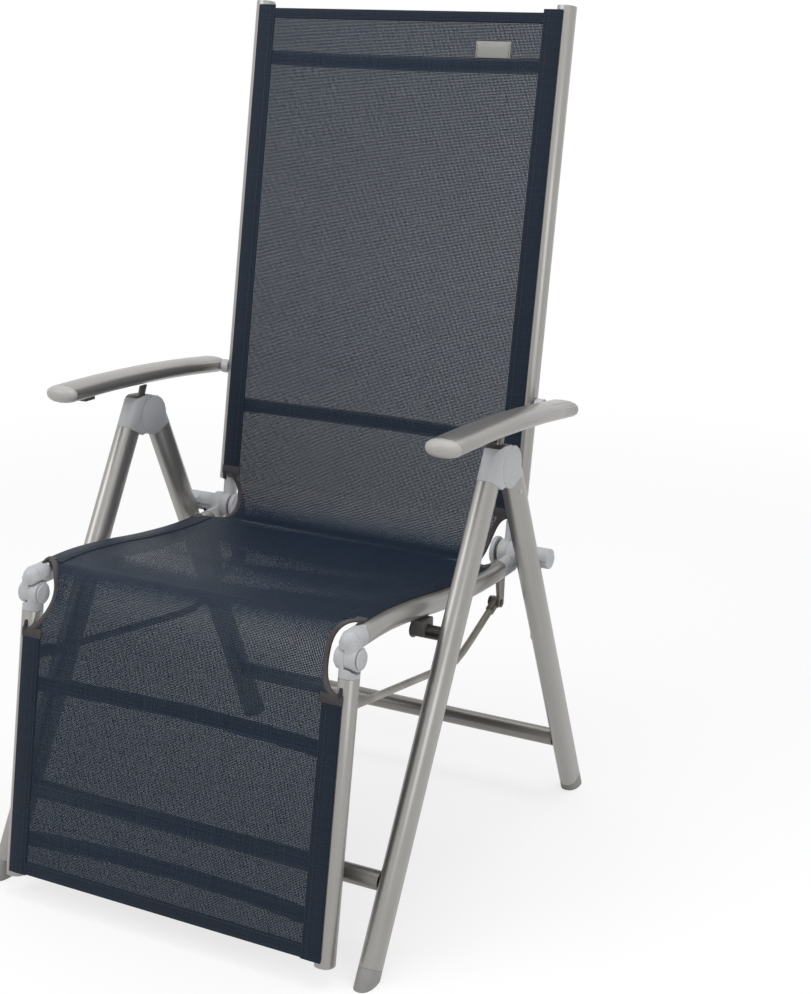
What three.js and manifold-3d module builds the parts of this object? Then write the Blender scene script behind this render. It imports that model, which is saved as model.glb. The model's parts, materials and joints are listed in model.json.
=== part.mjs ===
// Folding sling recliner of aluminium tube: crossed legs, seat, tall back, hinged leg rest and armrests.
// Millimetres. +X is the sitter's left, -Y the front, +Z up, the feet stand on Z = 0.
import * as THREE from 'three';
import { mergeVertices } from 'three/addons/utils/BufferGeometryUtils.js';
import Module from 'manifold-3d';

// Stance, seen from the side: places of the pivots and feet
const hubHeight = 536.5;
const frontFootReach = 346;
const rearFootReach = 245;
const frontAxisOffset = 31.5;
const rearAxisOffset = 14;
const pivotLineHeight = 382;
const seatLength = 421;
const backLength = 707;
const legRestLength = 364;
const backTilt = THREE.MathUtils.degToRad(10.9);
const backSetback = 6;
const legRestTilt = THREE.MathUtils.degToRad(10.4);

// Clearances between pieces
const gap = 0.3;
const runningGap = 0.25;
const overrun = 60;

// Leg tubes
const legWidth = 25;
const legDepth = 37;
const legWall = 1.5;
const legToRailGap = 18;
const legBarDiameter = 24;
const legBarWall = 1.4;
const frontBarHeight = 101;
const rearBarHeight = 86;

// Rails of the back, seat and leg rest
const railSpacing = 455;
const railWidth = 24;
const railDepth = 26;
const railWall = 1.4;
const seatRise = 30;
const seatRailPathShares = [
  [0.05, 0.66], [0.17, 0.64], [0.345, 0.36], [0.502, 0], [0.674, -0.29], [0.815, -0.4], [0.906, -0.4],
];
const slingBarDiameter = 20;
const slingBarWall = 1.2;
const slingBarBow = 22;
const backBarShares = [0.205, 0.893];
const legRestBarShares = [0.313, 0.862];

// Plastic end plugs and feet
const plugLength = 22;
const footLength = 18;
const railCapLength = 5;

// Hub where the front and rear legs cross
const hubDiscRadius = 27;
const hubSeam = 29;
const shellDrop = 33;
const shellTopRise = 29;
const toothBaseRise = 24;
const toothBaseSlope = 3;
const shellNoseGap = 0.8;
const discRingShares = [[1, 1, 0], [0.48, 0.91, 0.02], [0.14, 0.79, 0.016], [-0.2, 0.62, -0.01]];
const tongueThickness = 7;
const tongueRadius = 14;
const hubPinRadius = 4;
const hubPinLength = 19;
const toothThickness = 4;
const toothWidth = 12;
const toothClearance = 3;
const toothLean = 7;
const toothPlace = 18.5;

// Hip hinge, from the rail plane inwards
const hingeRadius = 17;
const hingePinRadius = 4;
const backDiscThickness = 12;
const lapRadius = 38;
const leverThickness = 4.3;
const hipCapThickness = 6;
const hipCapRadius = 19;
const hipBossRadius = 13.5;
const hipBossOverhang = 2;
const hipBossToLeg = 1.3;
const hingeSocketLength = 40;
const stayThickness = 4;
const stayLength = 115;
const stayEndRadius = 8;

// Knee hinge
const kneeBarrelRadius = 14.5;
const kneeBarrelLength = 33;
const kneeLapMargin = 3;
const kneeCapThickness = 3;
const kneeCapRadius = 12.5;
const kneeSocketLength = 23;

// Push-rod linkage that lifts the leg rest as the back leans
const linkDrop = 74;
const linkSetback = 2;
const leverWidth = 13;
const linkPinRadius = 3;
const linkHeadRadius = 8;
const linkHeadThickness = 3.5;
const rodDiameter = 9.5;
const rodEndRadius = 8;
const rodSocketLength = 20;
const rodSocketDiameter = 13;
const rodBendShare = 0.27;
const rodBendDrop = 46;

// Seat rest on the front legs
const restTubeDiameter = 17;
const restFlangeRadius = 10.5;
const restFlangeThickness = 3;
const saddleWall = 3;
const saddleLip = 6;
const saddleSeatGap = 0.6;
const saddlePad = 9;

// Armrests
const armrestAboveHub = 37.6;
const armrestWidth = 47;
const armrestDepth = 22.5;
const armrestWall = 1.6;
const armrestReach = 329;
const armrestFrontRise = 26;
const armrestBow = 5;
const armrestTailShare = 0.01;
const armrestCapLength = 14;
const spacerLength = 11;
const spacerRadius = 9.5;
const armrestBoltRadius = 3.5;
const boltHeadRadius = 6.5;
const boltHeadHeight = 3;
const catchSlotLength = 9;
const catchSlotWidth = 7;
const catchSlotShares = [0.34, 0.42, 0.5, 0.58, 0.66, 0.74];
const stopWidth = 14;
const stopDepth = 3.5;
const stopShares = [0.85, 0.91];

// Sling
const slingThickness = 1.4;
const slingHalfWidth = 229;
const slingFreeHalfWidth = 190;
const slingTopMargin = 6;
const slingLowMargin = 7;
const hipFabricStart = 46;
const kneeFabricStart = 42;
const bendInset = 3;

// Fineness of the curved faces
const ovalSides = 16;
const ovalFlatness = 0.84;
const roundSides = 16;
const railSteps = 12;
const bowSteps = 8;
const rodSteps = 18;
const sheetSteps = 12;

const wasm = await Module();
wasm.setup();

const finishes = {
  aluminium: { color: 0xb9b7b0, roughness: 0.42, metalness: 0.85 },
  lightPlastic: { color: 0xb4b8bd, roughness: 0.55, metalness: 0 },
  greyPlastic: { color: 0x8d8f90, roughness: 0.6, metalness: 0 },
  steel: { color: 0x77726c, roughness: 0.45, metalness: 0.9 },
  mesh: { color: 0x26354b, roughness: 0.85, metalness: 0 },
};

const chair = new THREE.Group();

// Points and directions in the side plane: x is the depth (front negative), y the height
const at = (depth, height) => new THREE.Vector2(depth, height);
const along = (from, direction, distance) => from.clone().addScaledVector(direction, distance);
const inPlane = (side, width, place) => new THREE.Vector3(side * width, place.x, place.y);

function headingAt(path, share) {
  const tangent = path.getTangentAt(share);
  return at(tangent.y, tangent.z).normalize();
}

// A place given as distances along and across a direction
function offset(from, direction, distance, across) {
  const normal = at(direction.y, -direction.x);
  return along(along(from, direction, distance), normal, across);
}

function addMesh(name, geometry, finish) {
  const mesh = new THREE.Mesh(geometry, new THREE.MeshStandardMaterial(finishes[finish]));
  mesh.name = name;
  chair.add(mesh);
}

// The same piece on the sitter's left and right
function addPair(name, build, finish) {
  addMesh(`${name}_left`, build(1), finish);
  addMesh(`${name}_right`, build(-1), finish);
}

// Closed meshes joined, cut and met as solids
function toSolid(geometry) {
  const bare = new THREE.BufferGeometry();
  bare.setAttribute('position', geometry.getAttribute('position').clone());
  if (geometry.index) bare.setIndex(geometry.index.clone());
  const merged = mergeVertices(bare, gap / 1000);
  const vertProperties = new Float32Array(merged.getAttribute('position').array);
  const triVerts = new Uint32Array(merged.index.array);
  return new wasm.Manifold(new wasm.Mesh({ numProp: 3, vertProperties, triVerts }));
}

function toGeometry(solid) {
  const mesh = solid.getMesh();
  const geometry = new THREE.BufferGeometry();
  geometry.setAttribute('position', new THREE.BufferAttribute(new Float32Array(mesh.vertProperties), 3));
  geometry.setIndex(new THREE.BufferAttribute(new Uint32Array(mesh.triVerts), 1));
  return geometry;
}

function join(...geometries) {
  return toGeometry(geometries.map(toSolid).reduce((whole, piece) => whole.add(piece)));
}

function cut(geometry, ...tools) {
  return toGeometry(tools.map(toSolid).reduce((whole, tool) => whole.subtract(tool), toSolid(geometry)));
}

function meet(geometry, other) {
  return toGeometry(toSolid(geometry).intersect(toSolid(other)));
}

// Oval with slightly flattened sides
function ovalPoints(width, depth) {
  const points = [];
  for (let i = 0; i < ovalSides; i += 1) {
    const angle = (2 * Math.PI * i) / ovalSides;
    const c = Math.cos(angle);
    const s = Math.sin(angle);
    points.push(at(
      (width / 2) * Math.sign(c) * Math.abs(c) ** ovalFlatness,
      (depth / 2) * Math.sign(s) * Math.abs(s) ** ovalFlatness,
    ));
  }
  return points;
}

function ovalSection(width, depth, wall = 0) {
  const section = new THREE.Shape(ovalPoints(width, depth));
  if (wall > 0) section.holes.push(new THREE.Path(ovalPoints(width - 2 * wall, depth - 2 * wall)));
  return section;
}

function circlePoints(centre, radius, from = 0, to = 2 * Math.PI, sides = roundSides) {
  const closed = to - from >= 2 * Math.PI;
  const points = [];
  for (let i = 0; i < sides + (closed ? 0 : 1); i += 1) {
    const angle = from + ((to - from) * i) / sides;
    points.push(at(centre.x + radius * Math.cos(angle), centre.y + radius * Math.sin(angle)));
  }
  return points;
}

function roundSection(diameter, wall = 0) {
  const ring = (radius) => circlePoints(at(0, 0), radius, 0, 2 * Math.PI, ovalSides);
  const section = new THREE.Shape(ring(diameter / 2));
  if (wall > 0) section.holes.push(new THREE.Path(ring(diameter / 2 - wall)));
  return section;
}

// A section swept along points in space
function sweep(section, points, steps = railSteps) {
  const straight = points.length === 2;
  const path = straight ? new THREE.LineCurve3(...points) : new THREE.CatmullRomCurve3(points);
  return new THREE.ExtrudeGeometry(section, { steps: straight ? 1 : steps, extrudePath: path });
}

function sweepInPlane(section, side, width, places, steps = railSteps) {
  return sweep(section, places.map((place) => inPlane(side, width, place)), steps);
}

// A side-plane outline given thickness across the chair, between two distances from its middle
function prism(outline, side, near, far, ...holes) {
  const shape = new THREE.Shape(outline);
  holes.forEach((hole) => shape.holes.push(new THREE.Path(hole)));
  const geometry = new THREE.ExtrudeGeometry(shape, { depth: far - near, bevelEnabled: false });
  const basis = new THREE.Matrix4().makeBasis(
    new THREE.Vector3(0, 1, 0), new THREE.Vector3(0, 0, 1), new THREE.Vector3(1, 0, 0),
  );
  geometry.applyMatrix4(basis);
  return geometry.translate(side > 0 ? near : -far, 0, 0);
}

function disc(centre, radius, side, near, far, bore = 0) {
  const holes = bore > 0 ? [circlePoints(centre, bore)] : [];
  return prism(circlePoints(centre, radius), side, near, far, ...holes);
}

// Outline round two circles of different size
function linkOutline(a, radiusA, b, radiusB) {
  const direction = b.clone().sub(a);
  const heading = direction.angle();
  const spread = Math.acos((radiusA - radiusB) / direction.length());
  const half = roundSides / 2;
  return [
    ...circlePoints(b, radiusB, heading - spread, heading + spread, half),
    ...circlePoints(a, radiusA, heading + spread, heading + 2 * Math.PI - spread, half),
  ];
}

// Widths across the chair, from its middle
const railMid = railSpacing / 2;
const railInner = railMid - railWidth / 2;
const railOuter = railMid + railWidth / 2;
const legInner = railOuter + legToRailGap;
const legMid = legInner + legWidth / 2;
const legOuter = legInner + legWidth;

// Pivots and leg axes
const hub = at(0, hubHeight);
const frontFootPlace = at(-frontFootReach, 0);
const rearFootPlace = at(rearFootReach, 0);

// Heading of a leg's axis that starts at its foot and passes beside the hub
function legHeading(footPlace, axisOffset) {
  const footToHub = hub.clone().sub(footPlace);
  const heading = footToHub.angle() + Math.asin(axisOffset / footToHub.length());
  return at(Math.cos(heading), Math.sin(heading));
}

const frontUp = legHeading(frontFootPlace, frontAxisOffset);
const rearUp = legHeading(rearFootPlace, -rearAxisOffset);
const frontTop = along(frontFootPlace, frontUp, hub.clone().sub(frontFootPlace).dot(frontUp));
const rearTop = along(rearFootPlace, rearUp, hub.clone().sub(rearFootPlace).dot(rearUp));
const legToHip = legDepth / 2 + hipBossToLeg + hipBossRadius;
const rearLegDepthAt = (height) => rearFootReach + (height * rearUp.x) / rearUp.y;
const hip = at(rearLegDepthAt(pivotLineHeight) + legToHip / rearUp.y, pivotLineHeight);
const knee = at(hip.x - seatLength, pivotLineHeight);
const backUp = at(Math.sin(backTilt), Math.cos(backTilt));
const legRestDown = at(-Math.sin(legRestTilt), -Math.cos(legRestTilt));

const onFrontLeg = (height) => along(frontFootPlace, frontUp, height / frontUp.y);
const onRearLeg = (height) => along(rearFootPlace, rearUp, height / rearUp.y);
const onBackRail = (distance) => offset(hip, backUp, distance, backSetback);
const onLegRest = (distance) => along(knee, legRestDown, distance);

const seatRailPlaces = seatRailPathShares.map(
  ([lengthShare, riseShare]) => at(knee.x + lengthShare * seatLength, knee.y + riseShare * seatRise),
);
const seatRailPath = new THREE.CatmullRomCurve3(seatRailPlaces.map((place) => inPlane(1, railMid, place)));
const seatRailCentre = (share) => {
  const place = seatRailPath.getPointAt(share);
  return at(place.y, place.z);
};
const seatRailHeading = (share) => headingAt(seatRailPath, share);

// Height of the seat rail's underside above the rest tube
function railUnderside(depth) {
  let share = 0;
  while (seatRailCentre(share).x < depth) share += 1 / 400;
  return seatRailCentre(share).y - (railDepth - railWall) / 2 / seatRailHeading(share).x;
}

// Place where the seat rests on a stub of each front leg, found along the leg
function findRestPlace() {
  let place = onFrontLeg(pivotLineHeight);
  for (let i = 0; i < sheetSteps; i += 1) {
    place = onFrontLeg(railUnderside(place.x) - saddlePad - restTubeDiameter / 2);
  }
  return place;
}
const restPlace = findRestPlace();
const legSection = ovalSection(legWidth, legDepth, legWall);
const legSolidSection = ovalSection(legWidth, legDepth);
const legPlugSection = ovalSection(legWidth - 2 * (legWall + gap), legDepth - 2 * (legWall + gap));
const railSection = ovalSection(railWidth, railDepth, railWall);
const railSolidSection = ovalSection(railWidth, railDepth);
const railPlugSection = ovalSection(railWidth - 2 * (railWall + gap), railDepth - 2 * (railWall + gap));

// Everything above the floor, to cut the feet flat
const aboveFloor = new THREE.BoxGeometry(
  4 * legOuter, 2 * (frontFootReach + rearFootReach), hubHeight,
).translate(0, 0, hubHeight / 2);

// A leg tube's foot: a plug and a shoe, cut flat on the floor
function foot(side, floorPlace, up) {
  const seam = footLength - gap;
  const shoe = sweepInPlane(legSolidSection, side, legMid, [
    along(floorPlace, up, -overrun / 2), along(floorPlace, up, seam),
  ]);
  const plug = sweepInPlane(legPlugSection, side, legMid, [
    along(floorPlace, up, seam - gap), along(floorPlace, up, seam + plugLength),
  ]);
  return meet(join(shoe, plug), aboveFloor);
}

const tongueHeading = frontTop.clone().sub(hub).normalize();
const tongueNeck = tongueRadius * 0.6;

// The crossing hub's outer shell on the front leg, rounded in front like the tube, with a tongue for the pin
function hubShell(side) {
  const local = (distance, across) => offset(frontTop, frontUp, distance, across);
  const socketRadius = hubDiscRadius + gap;
  const half = legDepth / 2;
  const noseAcross = rearAxisOffset - half - shellNoseGap;
  const arcTop = THREE.MathUtils.degToRad(95);
  const arcLow = Math.PI + frontUp.angle() + Math.asin(noseAcross / socketRadius);
  const arc = circlePoints(hub, socketRadius, arcTop, arcLow, roundSides / 2);
  const topRear = at(arc[0].x, hub.y + shellTopRise);
  const outline = [
    local(-shellDrop, -half),
    local(-shellDrop / 5, -half),
    local(shellDrop / 30, -half * 0.87),
    local(shellDrop / 3.5, -half * 0.62),
    local(shellDrop / 2.1, -half * 0.2),
    topRear,
    ...arc,
    local(-shellDrop, half),
  ];
  const shellLow = -shellDrop - gap;
  const aboveDisc = 2 * hubDiscRadius;
  const roundedFront = sweepInPlane(legSolidSection, side, legMid, [local(shellLow, 0), local(aboveDisc, 0)]);
  const flatRear = prism([
    local(shellLow, 0), local(aboveDisc, 0), local(aboveDisc, aboveDisc), local(shellLow, aboveDisc),
  ], side, legInner, legOuter);
  const shell = meet(prism(outline, side, legInner, legOuter), join(roundedFront, flatRear));
  const plug = sweepInPlane(legPlugSection, side, legMid, [
    local(-shellDrop - plugLength, 0), local(gap - shellDrop, 0),
  ]);
  const tongueFrom = legMid - tongueThickness / 2;
  const tongueTo = legMid + tongueThickness / 2;
  const tongueEnd = hubDiscRadius * 1.2;
  const tongue = join(
    disc(hub, tongueRadius, side, tongueFrom, tongueTo),
    prism([
      offset(hub, tongueHeading, 0, tongueNeck), offset(hub, tongueHeading, tongueEnd, tongueNeck),
      offset(hub, tongueHeading, tongueEnd, -tongueNeck), offset(hub, tongueHeading, 0, -tongueNeck),
    ], side, tongueFrom, tongueTo),
  );
  const bore = disc(hub, hubPinRadius + runningGap, side, legInner, legOuter);
  return cut(join(shell, plug, tongue, latchTooth(side)), bore);
}

// The rear leg's round end, slotted for the tongue
function hubDisc(side) {
  const local = (distance, across) => offset(rearTop, rearUp, -distance, across);
  const round = disc(hub, hubDiscRadius, side, legInner, legOuter);
  const rings = discRingShares.map(([dropShare, depthShare, shiftShare]) => {
    const depth = legDepth * depthShare;
    const centre = local(hubSeam * dropShare - gap, legDepth * shiftShare);
    return ovalPoints(legWidth, depth).map((place) => {
      const inSide = offset(centre, rearUp, 0, place.y);
      return inPlane(1, side * legMid + place.x, inSide);
    });
  });
  const shoulder = loft(rings);
  const plug = sweepInPlane(legPlugSection, side, legMid, [
    local(hubSeam - 2 * gap, 0), local(hubSeam + plugLength, 0),
  ]);
  const sweepFrom = tongueHeading.angle() - THREE.MathUtils.degToRad(40);
  const sweepTo = tongueHeading.angle() + THREE.MathUtils.degToRad(96);
  const slotFrom = legMid - tongueThickness / 2 - gap;
  const slotTo = legMid + tongueThickness / 2 + gap;
  const sector = [hub, ...circlePoints(hub, hubDiscRadius * 1.2, sweepFrom, sweepTo, roundSides / 2)];
  const slot = join(
    disc(hub, tongueRadius + gap, side, slotFrom, slotTo),
    prism(sector, side, slotFrom, slotTo),
  );
  const pin = disc(hub, hubPinRadius, side, legMid - hubPinLength / 2, legMid + hubPinLength / 2);
  return join(cut(join(round, shoulder, plug), slot), pin);
}

// Flat steel tooth that stands on the hub and catches a slot under the armrest
function latchTooth(side) {
  const top = armrestCentre(0.5).y - armrestDepth / 2 - toothClearance;
  const base = at(hub.x - toothPlace, hub.y + toothBaseRise);
  const outline = [
    base,
    at(base.x + toothWidth, base.y + toothBaseSlope),
    at(base.x + toothWidth + toothLean, top),
    at(base.x + toothLean, top),
  ];
  return prism(outline, side, legMid - toothThickness / 2, legMid + toothThickness / 2);
}

// Places on the armrest's bowed centre line, from the pivot (0) to the front (1)
const armrestPivotReach = (hub.y + armrestAboveHub - hip.y + backSetback * backUp.x) / backUp.y;
const armrestPivot = onBackRail(armrestPivotReach);
function armrestCentre(share) {
  const chord = at(-armrestReach * share, armrestFrontRise * share);
  const bow = 4 * armrestBow * share * (1 - share);
  return at(armrestPivot.x + chord.x, armrestPivot.y + chord.y + bow);
}

const armrestHeading = (share) => armrestCentre(share + 0.01).sub(armrestCentre(share - 0.01)).normalize();

const restStart = railMid - railWidth / 4 - gap - restFlangeThickness;

function frontLeg(side) {
  const tube = sweepInPlane(legSection, side, legMid, [
    along(frontFootPlace, frontUp, footLength), along(frontTop, frontUp, -shellDrop - gap),
  ]);
  const stub = disc(restPlace, restTubeDiameter / 2, side, restStart, legInner + legWall / 2);
  const flange = disc(restPlace, restFlangeRadius, side, restStart, restStart + restFlangeThickness);
  return join(tube, stub, flange);
}

function rearLeg(side) {
  return sweepInPlane(legSection, side, legMid, [
    along(rearFootPlace, rearUp, footLength), along(rearTop, rearUp, -hubSeam),
  ]);
}

function crossbar(place) {
  const end = legInner - gap;
  const section = roundSection(legBarDiameter, legBarWall);
  return sweep(section, [inPlane(-1, end, place), inPlane(1, end, place)]);
}

addPair('front_leg', frontLeg, 'aluminium');
addPair('rear_leg', rearLeg, 'aluminium');
addPair('front_hub_shell', hubShell, 'lightPlastic');
addPair('rear_hub_disc', hubDisc, 'lightPlastic');
addPair('front_foot', (side) => foot(side, frontFootPlace, frontUp), 'greyPlastic');
addPair('rear_foot', (side) => foot(side, rearFootPlace, rearUp), 'greyPlastic');
addMesh('front_crossbar', crossbar(onFrontLeg(frontBarHeight)), 'aluminium');
addMesh('rear_crossbar', crossbar(onRearLeg(rearBarHeight)), 'aluminium');

// Hip hinge: layers from the leg inwards
const bossInner = railOuter + 4 * gap;
const seatDiscOuter = bossInner - gap;
const backDiscOuter = railMid - railWidth / 24;
const seatDiscInner = backDiscOuter + gap;
const backDiscInner = backDiscOuter - backDiscThickness;
const leverOuter = backDiscInner - gap;
const leverInner = leverOuter - leverThickness;
const hipCapOuter = leverInner - gap;
const hipCapInner = hipCapOuter - hipCapThickness;
const hingeBore = hingePinRadius + runningGap;

// Bracket behind the rear leg that carries the hip pin, with a stay down the leg's inner face
function hipBracket(side) {
  const bossOuter = legOuter + hipBossOverhang;
  const boss = disc(hip, hipBossRadius, side, bossInner, bossOuter);
  const rearDown = rearUp.clone().negate();
  const fromHub = hip.clone().sub(rearTop);
  const down = fromHub.dot(rearDown);
  const local = (distance, across) => offset(rearTop, rearDown, distance, -across);
  const behind = fromHub.clone().addScaledVector(rearDown, -down).length();
  const faceGap = legDepth / 2 + gap;
  const bridge = prism([
    local(down - hipBossRadius * 0.9, behind),
    local(down - hipBossRadius * 0.2, behind),
    local(down - hipBossRadius * 0.5, faceGap),
    local(down - hipBossRadius * 1.1, faceGap),
  ], side, legMid - legWidth / 4, legMid + legWidth / 4);
  const stayEnd = offset(rearTop, rearDown, down + stayLength, -rearAxisOffset / 3);
  const stayOuter = legInner - gap;
  const stay = prism(
    linkOutline(hip, hipBossRadius * 0.9, stayEnd, stayEndRadius), side, stayOuter - stayThickness, stayOuter,
  );
  const pin = disc(hip, hingePinRadius, side, leverInner + gap, legInner);
  return join(boss, bridge, stay, pin);
}

addPair('hip_bracket', hipBracket, 'steel');

// Seat: curved rails, the hinge ends and the saddles
const seatRailEnd = seatRailPlaces[seatRailPlaces.length - 1];

function seatHingeEnd(side) {
  const round = disc(hip, hingeRadius, side, seatDiscInner, seatDiscOuter);
  const heading = seatRailHeading(1);
  const neck = sweepInPlane(railSolidSection, side, railMid, [
    along(seatRailEnd, heading, gap), along(seatRailEnd, heading, hip.x - seatRailEnd.x - hingeRadius / 4),
  ]);
  const plug = sweepInPlane(railPlugSection, side, railMid, [
    along(seatRailEnd, heading, -plugLength / 2), along(seatRailEnd, heading, 2 * gap),
  ]);
  const clear = disc(hip, lapRadius, side, railInner - overrun, seatDiscInner);
  const bore = disc(hip, hingeBore, side, railInner, railOuter + overrun);
  return cut(join(round, neck, plug), clear, bore);
}

function saddle(side) {
  const radius = restTubeDiameter / 2 + saddleSeatGap;
  const reach = radius + saddleWall;
  const top = Math.min(railUnderside(restPlace.x - reach), railUnderside(restPlace.x + reach));
  const outline = [
    at(restPlace.x - reach, restPlace.y - saddleLip / 2),
    at(restPlace.x - reach, top),
    at(restPlace.x + reach, top),
    at(restPlace.x + reach, restPlace.y - saddleLip / 2),
    at(restPlace.x + radius, restPlace.y - saddleLip / 2),
    ...circlePoints(restPlace, radius, 0, Math.PI, roundSides / 2),
    at(restPlace.x - radius, restPlace.y - saddleLip / 2),
  ];
  return prism(outline, side, railMid - railWidth / 4, railMid + railWidth / 2);
}

function seatRail(side) {
  return join(sweepInPlane(railSection, side, railMid, seatRailPlaces), saddle(side));
}

// Knee hinge: an outer barrel on the seat, an inner one on the leg rest
const kneeFrom = railMid - kneeBarrelLength / 2;
const kneeTo = railMid + kneeBarrelLength / 2 - 2 * gap;
const kneeSplit = railMid - kneeCapThickness / 2;
const kneeBore = hingePinRadius + runningGap;
const kneeClear = kneeBarrelRadius + kneeLapMargin;

function kneeUpper(side) {
  const start = seatRailPlaces[0];
  const run = start.clone().sub(knee);
  const heading = seatRailHeading(0);
  const corner = along(start, heading, -run.x / heading.x);
  const upright = sweepInPlane(railSolidSection, side, railMid, [knee, corner]);
  const neck = sweepInPlane(railSolidSection, side, railMid, [corner, along(start, heading, -gap)]);
  const bend = new THREE.SphereGeometry(1, roundSides, roundSides / 2)
    .scale(railWidth / 2, railDepth / 2, railDepth / 2)
    .translate(side * railMid, corner.x, corner.y);
  const plug = sweepInPlane(railPlugSection, side, railMid, [
    along(start, heading, -2 * gap), along(start, heading, plugLength / 2),
  ]);
  const barrel = disc(knee, kneeBarrelRadius, side, kneeSplit + gap, kneeTo - kneeCapThickness - gap);
  const clear = disc(knee, kneeClear, side, kneeFrom - overrun, kneeSplit + gap);
  const outside = disc(knee, kneeClear, side, kneeTo - kneeCapThickness - gap, kneeTo + overrun);
  const bore = disc(knee, kneeBore, side, kneeFrom, kneeTo);
  return cut(join(upright, bend, neck, barrel, plug), clear, outside, bore);
}

function kneeLower(side) {
  const start = onLegRest(kneeSocketLength - gap);
  const elbow = sweepInPlane(railSolidSection, side, railMid, [onLegRest(kneeBarrelRadius / 2), start]);
  const plug = sweepInPlane(railPlugSection, side, railMid, [
    onLegRest(kneeSocketLength - 2 * gap), onLegRest(kneeSocketLength + plugLength),
  ]);
  const barrel = disc(knee, kneeBarrelRadius, side, kneeFrom + kneeCapThickness + gap, kneeSplit);
  const clear = disc(knee, kneeClear, side, kneeSplit, kneeTo + overrun);
  const inside = disc(knee, kneeClear, side, kneeFrom - overrun, kneeFrom + kneeCapThickness + gap);
  const bore = disc(knee, kneeBore, side, kneeFrom, kneeTo);
  return cut(join(elbow, barrel, plug), clear, inside, bore);
}

function kneePin(side) {
  const pin = disc(knee, hingePinRadius, side, kneeFrom, kneeTo);
  const innerCap = disc(knee, kneeCapRadius, side, kneeFrom, kneeFrom + kneeCapThickness);
  const outerCap = disc(knee, kneeCapRadius, side, kneeTo - kneeCapThickness, kneeTo);
  return join(pin, innerCap, outerCap);
}

addPair('seat_rail', seatRail, 'aluminium');
addPair('seat_hinge_end', seatHingeEnd, 'lightPlastic');
addPair('knee_knuckle_upper', kneeUpper, 'lightPlastic');
addPair('knee_knuckle_lower', kneeLower, 'lightPlastic');
addPair('knee_pin', kneePin, 'lightPlastic');

// Backrest
function backSocket(side) {
  const round = disc(hip, hingeRadius, side, backDiscInner, backDiscOuter);
  const neck = sweepInPlane(railSolidSection, side, railMid, [
    onBackRail(hingeRadius / 3), onBackRail(hingeSocketLength - gap),
  ]);
  const plug = sweepInPlane(railPlugSection, side, railMid, [
    onBackRail(hingeSocketLength - 2 * gap), onBackRail(hingeSocketLength + plugLength),
  ]);
  const clear = disc(hip, lapRadius, side, backDiscOuter, railOuter + overrun);
  const bore = disc(hip, hingeBore, side, railInner - overrun, railOuter);
  return cut(join(round, neck, plug), clear, bore);
}

const hipCap = (side) => disc(hip, hipCapRadius, side, hipCapInner, hipCapOuter);
const leverPin = at(hip.x + linkSetback, hip.y - linkDrop);
const bracketPin = at(knee.x + linkSetback, knee.y - linkDrop);
const linkBore = linkPinRadius + runningGap;

function recliningLever(side) {
  const outline = linkOutline(hip, hingeRadius * 0.85, leverPin, leverWidth / 2);
  const holes = [circlePoints(hip, hingeBore), circlePoints(leverPin, linkBore)];
  return prism(outline, side, leverInner, leverOuter, ...holes);
}

// Tube that is closed at its far end
function cappedRail(side, from, to, outward) {
  const tube = sweepInPlane(railSection, side, railMid, [from, along(to, outward, -railWall)]);
  const cap = sweepInPlane(railSolidSection, side, railMid, [along(to, outward, -railCapLength), to]);
  return join(tube, cap);
}

function backRail(side) {
  const tube = cappedRail(side, onBackRail(hingeSocketLength), onBackRail(backLength), backUp);
  const hole = disc(armrestPivot, armrestBoltRadius + runningGap, side, railInner - overrun, railOuter + overrun);
  return cut(tube, hole);
}

// Cross tube between two rails, bowed away from the sitter
function bowedBar(place, away) {
  const half = railInner - gap;
  const shares = [-1, -0.75, -0.4, 0, 0.4, 0.75, 1];
  const points = shares.map((share) => {
    const bow = slingBarBow * (1 - share * share);
    return inPlane(1, half * share, along(place, away, bow));
  });
  return sweep(roundSection(slingBarDiameter, slingBarWall), points, bowSteps);
}

const backRear = at(backUp.y, -backUp.x);
const legRestRear = at(-legRestDown.y, legRestDown.x);

addPair('back_rail', backRail, 'aluminium');
addPair('back_socket', backSocket, 'lightPlastic');
addPair('recline_lever', recliningLever, 'steel');
addPair('hip_cap', hipCap, 'lightPlastic');
addMesh('back_lower_bar', bowedBar(onBackRail(backBarShares[0] * backLength), backRear), 'aluminium');
addMesh('back_upper_bar', bowedBar(onBackRail(backBarShares[1] * backLength), backRear), 'aluminium');

// Leg rest
addPair('leg_rest_rail', (side) => cappedRail(
  side, onLegRest(kneeSocketLength), onLegRest(legRestLength), legRestDown,
), 'aluminium');
addMesh('leg_rest_upper_bar', bowedBar(onLegRest(legRestBarShares[0] * legRestLength), legRestRear), 'aluminium');
addMesh('leg_rest_lower_bar', bowedBar(onLegRest(legRestBarShares[1] * legRestLength), legRestRear), 'aluminium');

// Bracket on the inner face of each leg-rest rail for the push rod's front end
function rodBracket(side) {
  const toRail = onLegRest(linkDrop);
  const outline = linkOutline(bracketPin, rodEndRadius, toRail, rodEndRadius * 0.9);
  const plate = prism(outline, side, leverInner, railInner - gap);
  return join(plate, disc(bracketPin, linkPinRadius, side, rodInner, leverOuter));
}

// Push rods, bent to clear the hips when the chair is folded
const rodInner = leverInner - gap - rodDiameter;
const rodMid = rodInner + rodDiameter / 2;
const rodBend = at(leverPin.x - rodBendShare * seatLength, leverPin.y - rodBendDrop);
const towardBend = (from) => rodBend.clone().sub(from).normalize();

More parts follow.
